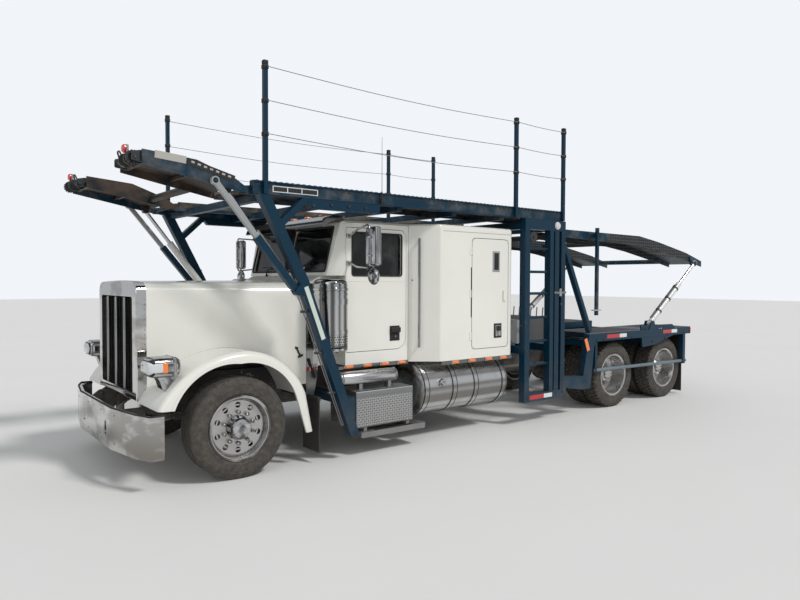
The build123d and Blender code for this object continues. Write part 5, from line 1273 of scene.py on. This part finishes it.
def poles():
    """Caps, clamps and the steel cables that run between the poles."""
    piece = Piece("black_plastic")
    cap, clamp = 0.023, 0.026
    for s in POLE_STATIONS:
        top = ("black_plastic", s - cap, s + cap, -cap, cap, POLE_TOP - 0.03, POLE_TOP + 0.004, 0.004, 2)
        piece.boxes((top,), POLE_Y)
        for z in CABLE_HEIGHTS:
            ring = ("black_plastic", s - clamp, s + clamp, -clamp, clamp, z - 0.02, z + 0.02, 0.005, 2)
            piece.boxes((ring,), POLE_Y)
            piece.studs(((s, z),), POLE_Y + 0.02, POLE_Y + 0.04, 0.009, 8)
    piece.use("cable")
    for a, b in zip(POLE_STATIONS, POLE_STATIONS[1:]):
        span = b - a
        for z in CABLE_HEIGHTS:
            line = [(a + span * run, POLE_Y + 0.033, z - CABLE_SAG * span * drop) for run, drop in CABLE_CURVE]
            piece.pipe(line, 0.0036)
    piece.both_sides().put("pole_cables", "chassis", "rack_paint")


def legs():
    """Reflective strips, hard lines with clips and bolts on the front legs."""
    piece = Piece("tape_pale")
    strip(piece, (0.608, 1.735), (0.80, 1.23), RACK_HALF - 0.0005, 0.045)
    piece.use("cable")
    for offset in (0.0, 0.022):
        line = ((0.66 + offset, 1.92), (0.565 + offset, 1.77), (0.78 + offset, 1.2), (1.1 + offset, 0.36))
        piece.pipe([(s - 0.075, RACK_HALF - 0.03, z) for s, z in line], 0.006, 0.04)
    for s, z in ((0.63, 1.5), (0.78, 1.1), (0.93, 0.7)):
        clip = ("frame_black", s - 0.06, s + 0.02, -0.05, -0.018, z - 0.012, z + 0.012, 0.004, 1)
        piece.boxes((clip,), RACK_HALF)
    bolts = ((0.70, 2.50), (0.9, 2.52), (1.1, 2.52), (1.3, 2.52))
    piece.studs(bolts, RACK_HALF - 0.022, RACK_HALF - 0.01, 0.014)
    piece.both_sides().put("leg_trim", "chassis", "rack_paint")


def towers():
    """Pin holes up the rear posts, rung collars, a pulley and a latch, tape, reflectors and lamps."""
    piece = Piece("black_plastic")
    for station, radius in POST_HOLES:
        holes = [(station, 0.36 + index * 0.05) for index in range(43)]
        piece.studs(holes, RACK_HALF - 0.002, RACK_HALF + 0.0012, radius, 10)
    for z in RUNG_HEIGHTS:
        for station in (3.775, 4.145):
            piece.band((station, 1.25, z), (1, 0, 0), 0.0, 0.006, 0.016, 0.026, 16)
    piece.use("frame_black").turned(PULLEY, PULLEY_PLACE, (0, 1, 0), 28, ring=True)
    piece.rod((3.86, 1.215, 2.345), (3.86, 1.285, 2.345), 0.018, sides=12)
    piece.boxes((
        ("frame_black", 3.72, 3.87, 1.222, 1.232, 2.33, 2.36, 0.004, 1),
        ("frame_black", 3.72, 3.87, 1.268, 1.278, 2.33, 2.36, 0.004, 1),
    )).boxes((
        ("polished_aluminium", 4.235, 4.47, 0.0, 0.008, 1.635, 1.662, 0.003, 1),
        ("polished_aluminium", 4.33, 4.372, -0.01, 0.012, 1.60, 1.70, 0.004, 2),
    ), RACK_HALF)
    piece.use("clear_lens").turned(DOMED_LAMP, (4.285, RACK_HALF - 0.002, 2.5), (0, 1, 0), 24)
    for station, z, red, white in TAPES:
        turn, stop = station + red, station + red + white
        piece.boxes((
            ("tape_red", station, turn, -0.001, 0.0016, z - 0.026, z + 0.026),
            ("tape_white", turn, stop, -0.001, 0.0016, z - 0.026, z + 0.026),
        ), RACK_HALF)
    piece.boxes((("tape_white", 6.72, 6.8, -0.009, -0.006, 1.052, 1.09),), RACK_HALF).use("amber_lens")
    strip(piece, (4.9, 1.02), (4.965, 0.86), RACK_HALF - 0.001, 0.055, 0.008)
    piece.boxes((("red_lens", 7.612, 7.628, -0.002, 0.01, 0.985, 1.06, 0.003, 2),), RACK_HALF)
    piece.both_sides().put("rack_fittings", "chassis", "rack_paint")


def fender_deck_plates():
    """Punched walkways, bolts and the guard pipe of the decks over the drive wheels."""
    piece = Piece("decking")
    for start, stop in ((5.17, 6.38), (6.76, 7.6)):
        runway(piece, ((start, 1.0815), (stop, 1.0815)), 0.62, 1.19, 0.075, 0.021)
    piece.use("rack_paint")
    piece.studs(((5.3, 0.99), (6.0, 0.99), (6.95, 0.99), (7.45, 0.99)), 1.294, 1.301, 0.013)
    piece.studs(((6.35, 1.09), (6.75, 1.08), (7.05, 1.02), (6.55, 0.9), (6.9, 0.93)), 1.284, 1.295, 0.014)
    piece.use("guard_paint").rod((5.14, 1.25, 0.57), (7.55, 1.25, 0.5402), 0.0245, sides=20)
    piece.both_sides().put("wheel_deck_plates", "chassis", "rack_paint")


def valve_box():
    """Tread plate lozenges and latches on the box behind the sleeper."""
    piece = Piece("tread_plate")
    lozenges(piece, (3.7, -0.4997, 1.0), (4.01, -0.4997, 1.54), (0, 1, 0))
    lozenges(piece, (3.7, -1.13, 1.5602), (4.01, -0.52, 1.5602), (0, 0, 1))
    for z in (1.06, 1.48):
        piece.use("frame_black").block((3.72, -0.505, z - 0.02), (3.74, -0.49, z + 0.02), 0.003, 1)
    piece.put("valve_box_plates", "chassis", "tread_plate")


RAMP_FACE = 1.222
WINCH_STATION, WINCH_Z = -0.905, 2.79
WINCH_DRUM = ((0.0, 0.0), (0.0, 0.06), (0.012, 0.06), (0.014, 0.034), (0.15, 0.034), (0.152, 0.06),
              (0.164, 0.06), (0.164, 0.0))
WINCH_PLATE = ((-0.935, 2.76), (-0.935, 2.83), (-0.84, 2.85), (-0.82, 2.745))
RATCHET_TEETH = 14
RAMP_LAMP = ((0.0, 0.0), (0.0, 0.036), (0.014, 0.036), (0.026, 0.026), (0.031, 0.0))
RAMP_SLOTS = 7


def ramp_front():
    """Winch drums, ratchets and lamps at the head ramp's tips, worn plates and slotted sides."""
    piece = Piece("frame_black").turned(WINCH_DRUM, (WINCH_STATION, 0.92, WINCH_Z), (0, 1, 0), 24)
    piece.rod((WINCH_STATION, 0.66, WINCH_Z), (WINCH_STATION, 1.2, WINCH_Z), 0.018, sides=12)
    for y in (0.70, 0.89, 1.1, 1.185):
        piece.plate(WINCH_PLATE, y, 0.01, 0.012)
    angles = [math.tau * index / RATCHET_TEETH for index in range(RATCHET_TEETH)]
    teeth = [(WINCH_STATION + 0.05 * math.cos(angle), WINCH_Z + 0.05 * math.sin(angle)) for angle in angles]
    piece.studs(teeth, 1.122, 1.142, 0.012)
    piece.pipe([(-0.9, 0.76, 2.8), (-0.93, 0.78, 2.88), (-0.93, 0.84, 2.88), (-0.9, 0.86, 2.8)], 0.008, 0.03)
    piece.use("red_lens").turned(RAMP_LAMP, (-0.925, 0.99, 2.878), (1, 0, 0), 20)
    piece.use("equipment_grey").block((-0.905, 0.955, 2.845), (-0.925, 1.025, 2.912), 0.006, 2)
    piece.use("worn_plate")
    strip(piece, (-0.76, 2.822), (-0.5, 2.80), RAMP_FACE - 0.001, 0.062, 0.004)
    piece.use("black_plastic")
    strip(piece, (-0.49, 2.795), (-0.07, 2.683), RAMP_FACE - 0.001, 0.058, 0.004)
    piece.use("worn_plate")
    for index in range(RAMP_SLOTS):
        share = (index + 0.5) / RAMP_SLOTS
        s, z = -0.47 + 0.38 * share, 2.797 - 0.103 * share
        strip(piece, (s - 0.014, z + 0.003), (s + 0.014, z - 0.004), RAMP_FACE + 0.0025, 0.016, 0.0012)
    piece.both_sides().put("ramp_front_gear", "head_ramp", "rack_paint")


LIFT_FOOT, LIFT_TIP = Vector((6.6, 1.21)), Vector((7.32, 1.73))
LIFT_Y = 1.24


def linkage_lines():
    """Hard oil lines clipped along the lift cylinders, and their ports."""
    piece = Piece("frame_black")
    run = (LIFT_TIP - LIFT_FOOT).normalized()
    side = Vector((-run.y, run.x)) * 0.05
    start, stop = LIFT_FOOT + side, LIFT_TIP + side
    for offset, y in ((0.0, 1.227), (0.02, 1.253)):
        line = (start + run * offset, start + run * (0.1 + offset), stop - run * 0.05, LIFT_TIP + side * 0.4)
        piece.pipe([(p.x, y, p.y) for p in line], 0.007, 0.03)
    for share in (0.25, 0.6, 0.9):
        centre = LIFT_FOOT + (LIFT_TIP - LIFT_FOOT) * share
        piece.band((centre.x, LIFT_Y, centre.y), (-run.x, 0, run.y), 0.0, 0.012, 0.039, 0.047, 24)
        top = centre + side * 1.2
        piece.rod((centre.x, LIFT_Y, centre.y), (top.x, LIFT_Y, top.y), 0.022, sides=8, ease=0.003)
    piece.both_sides().put("lift_lines", "deck_barrels", "frame_black")


stage()
camera()
dress_nodes()
for dress in (wheels, grille, rivets, headlights, bumper_trim, hood_trim, cowl_trim, windshield, cab_roof,
              air_cleaners, doors, sleeper, lamps, tank_fittings, step_trim, decks, deck_rails, poles, legs,
              towers, fender_deck_plates, valve_box, ramp_front, linkage_lines):
    dress()
